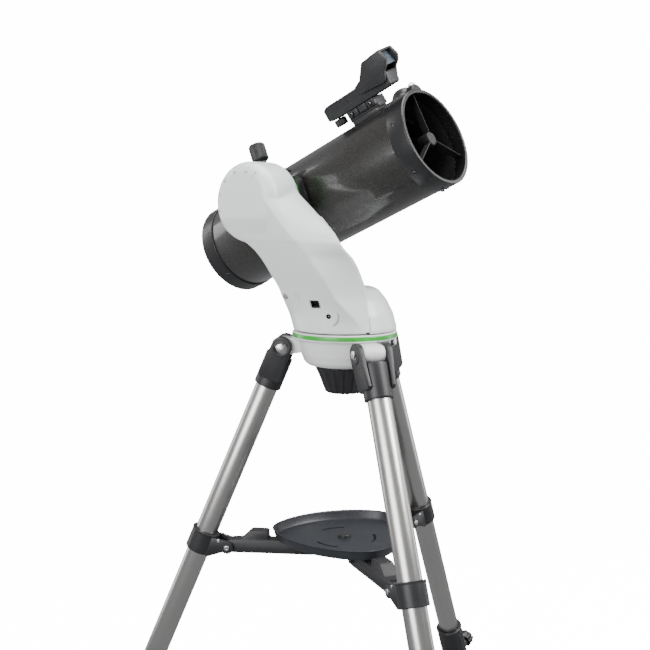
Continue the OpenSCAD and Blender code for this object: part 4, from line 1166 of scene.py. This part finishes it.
# Focuser: a foot that follows the tube, its barrel and pinion housing, the drawtube and the knobs
bm = bmesh.new()
foot = []
for y in (-29.8 + 59.6 * j / 24 for j in range(25)):
    z = math.sqrt((R + 0.1) ** 2 - y * y)
    foot.append([(-31.3, y, z), (31.3, y, z), (30.7, y, 69.8), (-30.7, y, 69.8)])
loft_bm(bm, foot)
lathe_bm(bm, fillet([(20.1, 60), (20.1, 95.8), (24.8, 95.8), (24.8, 74), (29, 69.6), (29, 68)],
                    [0, 0.6, 1.2, 3, 1, 0], 3), closed=False)
prism_bm(bm, fillet([(-12.9, -31), (12.9, -31), (12.9, -18), (-12.9, -18)], 3, 4), 75.1, 88.8, 1.0, Matrix(),
         3)
finish(bm, "focuser_body_skin", FOC, RING_PAINT, "tube", ["focuser_body"], 38)
lathe("drawtube_skin", [(16.0, 58.2), (19.9, 58.2), (19.9, 102.8), (22.2, 103), (22.9, 104), (22.9, 108),
                        (22.0, 109),
                        (22.0, 111), (22.9, 112), (22.9, 121.8), (22, 122.8), (16.8, 122.8), (16.0, 122)],
      FOC, RING_PAINT, "drawtube", ["drawtube"], 128, 0.5)
bm = bmesh.new()
m = shift(z=113) @ spin(50, "Z") @ SIDE
prism_bm(bm, lobed(4.5, 96, 0.35, 12), 29.2, 36.7, 0.7, m)
rod_bm(bm, 2.1, 20, 30, m, 20)
finish(bm, "drawtube_screw", FOC, SCREW, "drawtube", (), 35)
KX = at(FOC, 0, -24.2, 82) @ ACROSS
for tag, z0, node in (("a", 33.2, ["focus_knobs"]), ("b", -45.8, ())):
    knurled("focus_knob_" + tag, 12.9, z0, z0 + 12.6, 28, 0.7, KX, PLASTIC, "focus_knobs", node,
            1.5, 5, 0.4)
lathe("focus_shaft", [(0, -37.8), (2.95, -37.8), (2.95, 37.8), (0, 37.8)], KX, SCREW, "focus_knobs", (),
      32, 0.3)

# ---------------------------------------------------------------- finder
FIND = at(TUBE @ spin(20, "X"), FRONT - 97, 0, R)
bm = bmesh.new()
shoe = [(y, math.sqrt((R + 0.1) ** 2 - y * y) - R) for y in (-14.8 + 29.6 * j / 16 for j in range(17))]
prism_bm(bm, [(14.8, 4.9), (-14.8, 4.9)] + shoe, 4.2, 46.8, 0.5, ALONG)
prism_bm(bm, fillet([(-10.8, 4.6), (-10.8, 10.8), (10.8, 10.8), (10.8, 4.6)], 1, 3), 0.3, 51.7, 0.5, ALONG)
for x0, x1 in ((2.2, 20.6), (21.4, 35.4), (36.2, 49.8)):
    prism_bm(bm, box_outline(x1 - x0, 29.6, 1.6, (x0 + x1) / 2, 0), 9.2, 18.9, 1.0, Matrix(), 3)
prism_bm(bm, box_outline(46, 25, 1.6, 26, 0), 9.6, 18.3, 0.3)
finish(bm, "finder_mount_skin", FIND, PLASTIC, "tube", ["finder_mount"], 35)
bm = bmesh.new()
side_screws(bm, [(10, 14.8, 14), (42, 14.8, 14)], 3.4, 3.4, 1.5)
finish(bm, "finder_mount_screws", FIND, DARK_SCREW, "tube", (), 35)

bm = bmesh.new()
case = fillet([(-28.8, 21.4), (-22, 19.5), (52, 19.5), (80, 19.5), (82.8, 22), (84.8, 38.5), (70, 40.8),
               (46, 40.8),
               (-22, 40.8), (-28.8, 37.6)], [1.5, 2, 1, 2, 2, 3, 1, 1, 4, 3], 4)
prism_bm(bm, case, -13.8, 13.8, 1.6, SIDE, 3)
cheek = fillet([(33.2, 40.6), (40, 30), (80, 26), (86, 38.8), (92.3, 43.2), (96.8, 51.3), (92, 65.8),
                (62, 63.8),
                (46.8, 46)], [2, 5, 5, 3, 3, 3, 2.5, 3, 5], 4)
for y0, y1 in ((13.2, 18.9), (-18.9, -13.2)):
    prism_bm(bm, cheek, -y1, -y0, 1.1, SIDE, 3)
roof = fillet([(46.9, 46), (62, 63.9), (92, 65.8), (92.6, 62.6), (63.5, 60.8), (49.5, 44)],
              [2, 3, 1.2, 1, 3, 1], 4)
back = fillet([(33.4, 40.7), (47, 46), (50, 44), (50, 38), (36, 38)], 1.0, 3)
for outline in (roof, back):
    prism_bm(bm, outline, -14.5, 14.5, 0.4, SIDE)
prism_bm(bm, fillet([(-14, 40.4), (28, 40.4), (28, 41.0), (-14, 41.0)], 0.1, 1), -8, 8, 0.2, SIDE, 1)
finish(bm, "finder_body_skin", FIND, PLASTIC, "tube", ["finder_body"], 35)
bm = bmesh.new()
window = fillet([(88.5, 44.5), (90.0, 44.5), (86.2, 62.6), (84.7, 62.6)], 0.3, 2)
prism_bm(bm, window, -13.6, 13.6, 0.1, SIDE, 1)
finish(bm, "finder_window_skin", FIND, GLASS, "tube", (), 35)
bm = bmesh.new()
for x, z in ((74, 30.5), (9.5, 33)):
    for s in (-1, 1):
        m = shift(x, s * 13.8, z) @ spin(-90 * s, "X")
        lathe_bm(bm, [(1.3, 0.6), (2.5, 0.6), (2.8, 0.3), (2.8, -0.3), (1.3, -0.3)], m, 24)
        rod_bm(bm, 1.4, -0.1, 0.05, m, 20)
finish(bm, "finder_adjusters", FIND, DARK_SCREW, "tube", (), 35)
DIAL = at(FIND, -20)
knurled("finder_dial_skin", 8.9, 8.7, 18.7, 22, 0.6, DIAL, PLASTIC, "finder_dial", ["finder_dial"],
        1.2, 5, 0.2)
lathe("finder_dial_axle", [(0, 9), (1.9, 9), (1.9, 24.8), (0, 24.8)], DIAL, DARK_SCREW, "finder_dial", (),
      24, 0.2)


# ---------------------------------------------------------------- floor, backdrop, light, camera
FLOOR = material("studio_floor", (0.93, 0.93, 0.93), 0.75, vary=0.004, grain_scale=60, grain=0.002,
                 rough_vary=0.03)
glow = next(n for n in FLOOR.node_tree.nodes if n.type == "BSDF_PRINCIPLED")
glow.inputs["Emission Color"].default_value = (1, 1, 1, 1)
glow.inputs["Emission Strength"].default_value = 14.0
CAM = Vector((0.8659, -1.1647, 0.8261))
fwd = Vector((-0.63949, 0.76065, -0.11160)).normalized()
right = Vector((0.76544, 0.64351, 0)).normalized()
away = Vector((fwd.x, fwd.y, 0)).normalized()


def stand(along_, side, z):
    """A place by distance away from the camera, to its right, and height."""
    return Vector((away.x * along_ + right.x * side, away.y * along_ + right.y * side, z))


# The sweep: flat floor, a quarter round, and a wall
SWEEP_AT, SWEEP_R = 1.6, 0.9
prof = [(-3.2, 0.0), (SWEEP_AT, 0.0)]
prof += [(SWEEP_AT + SWEEP_R * sind(7.5 * k), SWEEP_R - SWEEP_R * cosd(7.5 * k)) for k in range(1, 13)]
prof.append((SWEEP_AT + SWEEP_R, 4.0))
bm = bmesh.new()
rows = [points(bm, [stand(d, -3.6 + 0.6 * j, z - 0.0004) for j in range(13)]) for d, z in prof]
for a, b in zip(rows, rows[1:]):
    for k in range(len(a) - 1):
        bm.faces.new((a[k], a[k + 1], b[k + 1], b[k]))
for f in bm.faces:
    f.smooth = True
floor = link("studio_sweep", bm)
floor.data.materials.append(FLOOR)
floor.visible_glossy = False
floor.visible_diffuse = False

world = bpy.data.worlds.new("studio")
world.use_nodes = True
wb = world.node_tree.nodes["Background"]
wb.inputs["Color"].default_value = (0.62, 0.635, 0.65, 1)
wb.inputs["Strength"].default_value = 0.55
bpy.context.scene.world = world


def area(name, pos, aim_z, size, power):
    """Rectangular light aimed at the object's middle at height aim_z."""
    d = bpy.data.lights.new(name, "AREA")
    d.shape = "RECTANGLE"
    d.size, d.size_y = size
    d.energy = power
    o = bpy.data.objects.new(name, d)
    bpy.context.scene.collection.objects.link(o)
    o.location = pos
    o.rotation_euler = (Vector((0, 0, aim_z)) - pos).to_track_quat("-Z", "Y").to_euler()


area("key_top_right", stand(-0.6, 1.9, 2.1), 0.75, (1.2, 1.2), 74)
area("fill_left", stand(-1.7, -1.2, 1.2), 0.7, (1.3, 1.6), 46)
area("top", stand(0.0, 0.2, 2.7), 0.6, (1.8, 1.8), 60)
area("rim_left", stand(0.7, -1.7, 0.9), 0.6, (0.6, 1.9), 10)
area("rim_right", stand(0.7, 1.7, 0.9), 0.6, (0.6, 1.9), 9)

cam_data = bpy.data.cameras.new("camera")
cam_data.sensor_width = 36
cam_data.lens = 55.85
cam_data.clip_start, cam_data.clip_end = 0.05, 30
cam = bpy.data.objects.new("camera", cam_data)
bpy.context.scene.collection.objects.link(cam)
cam.matrix_world = basis(CAM, right, right.cross(fwd), -fwd)
bpy.context.scene.camera = cam
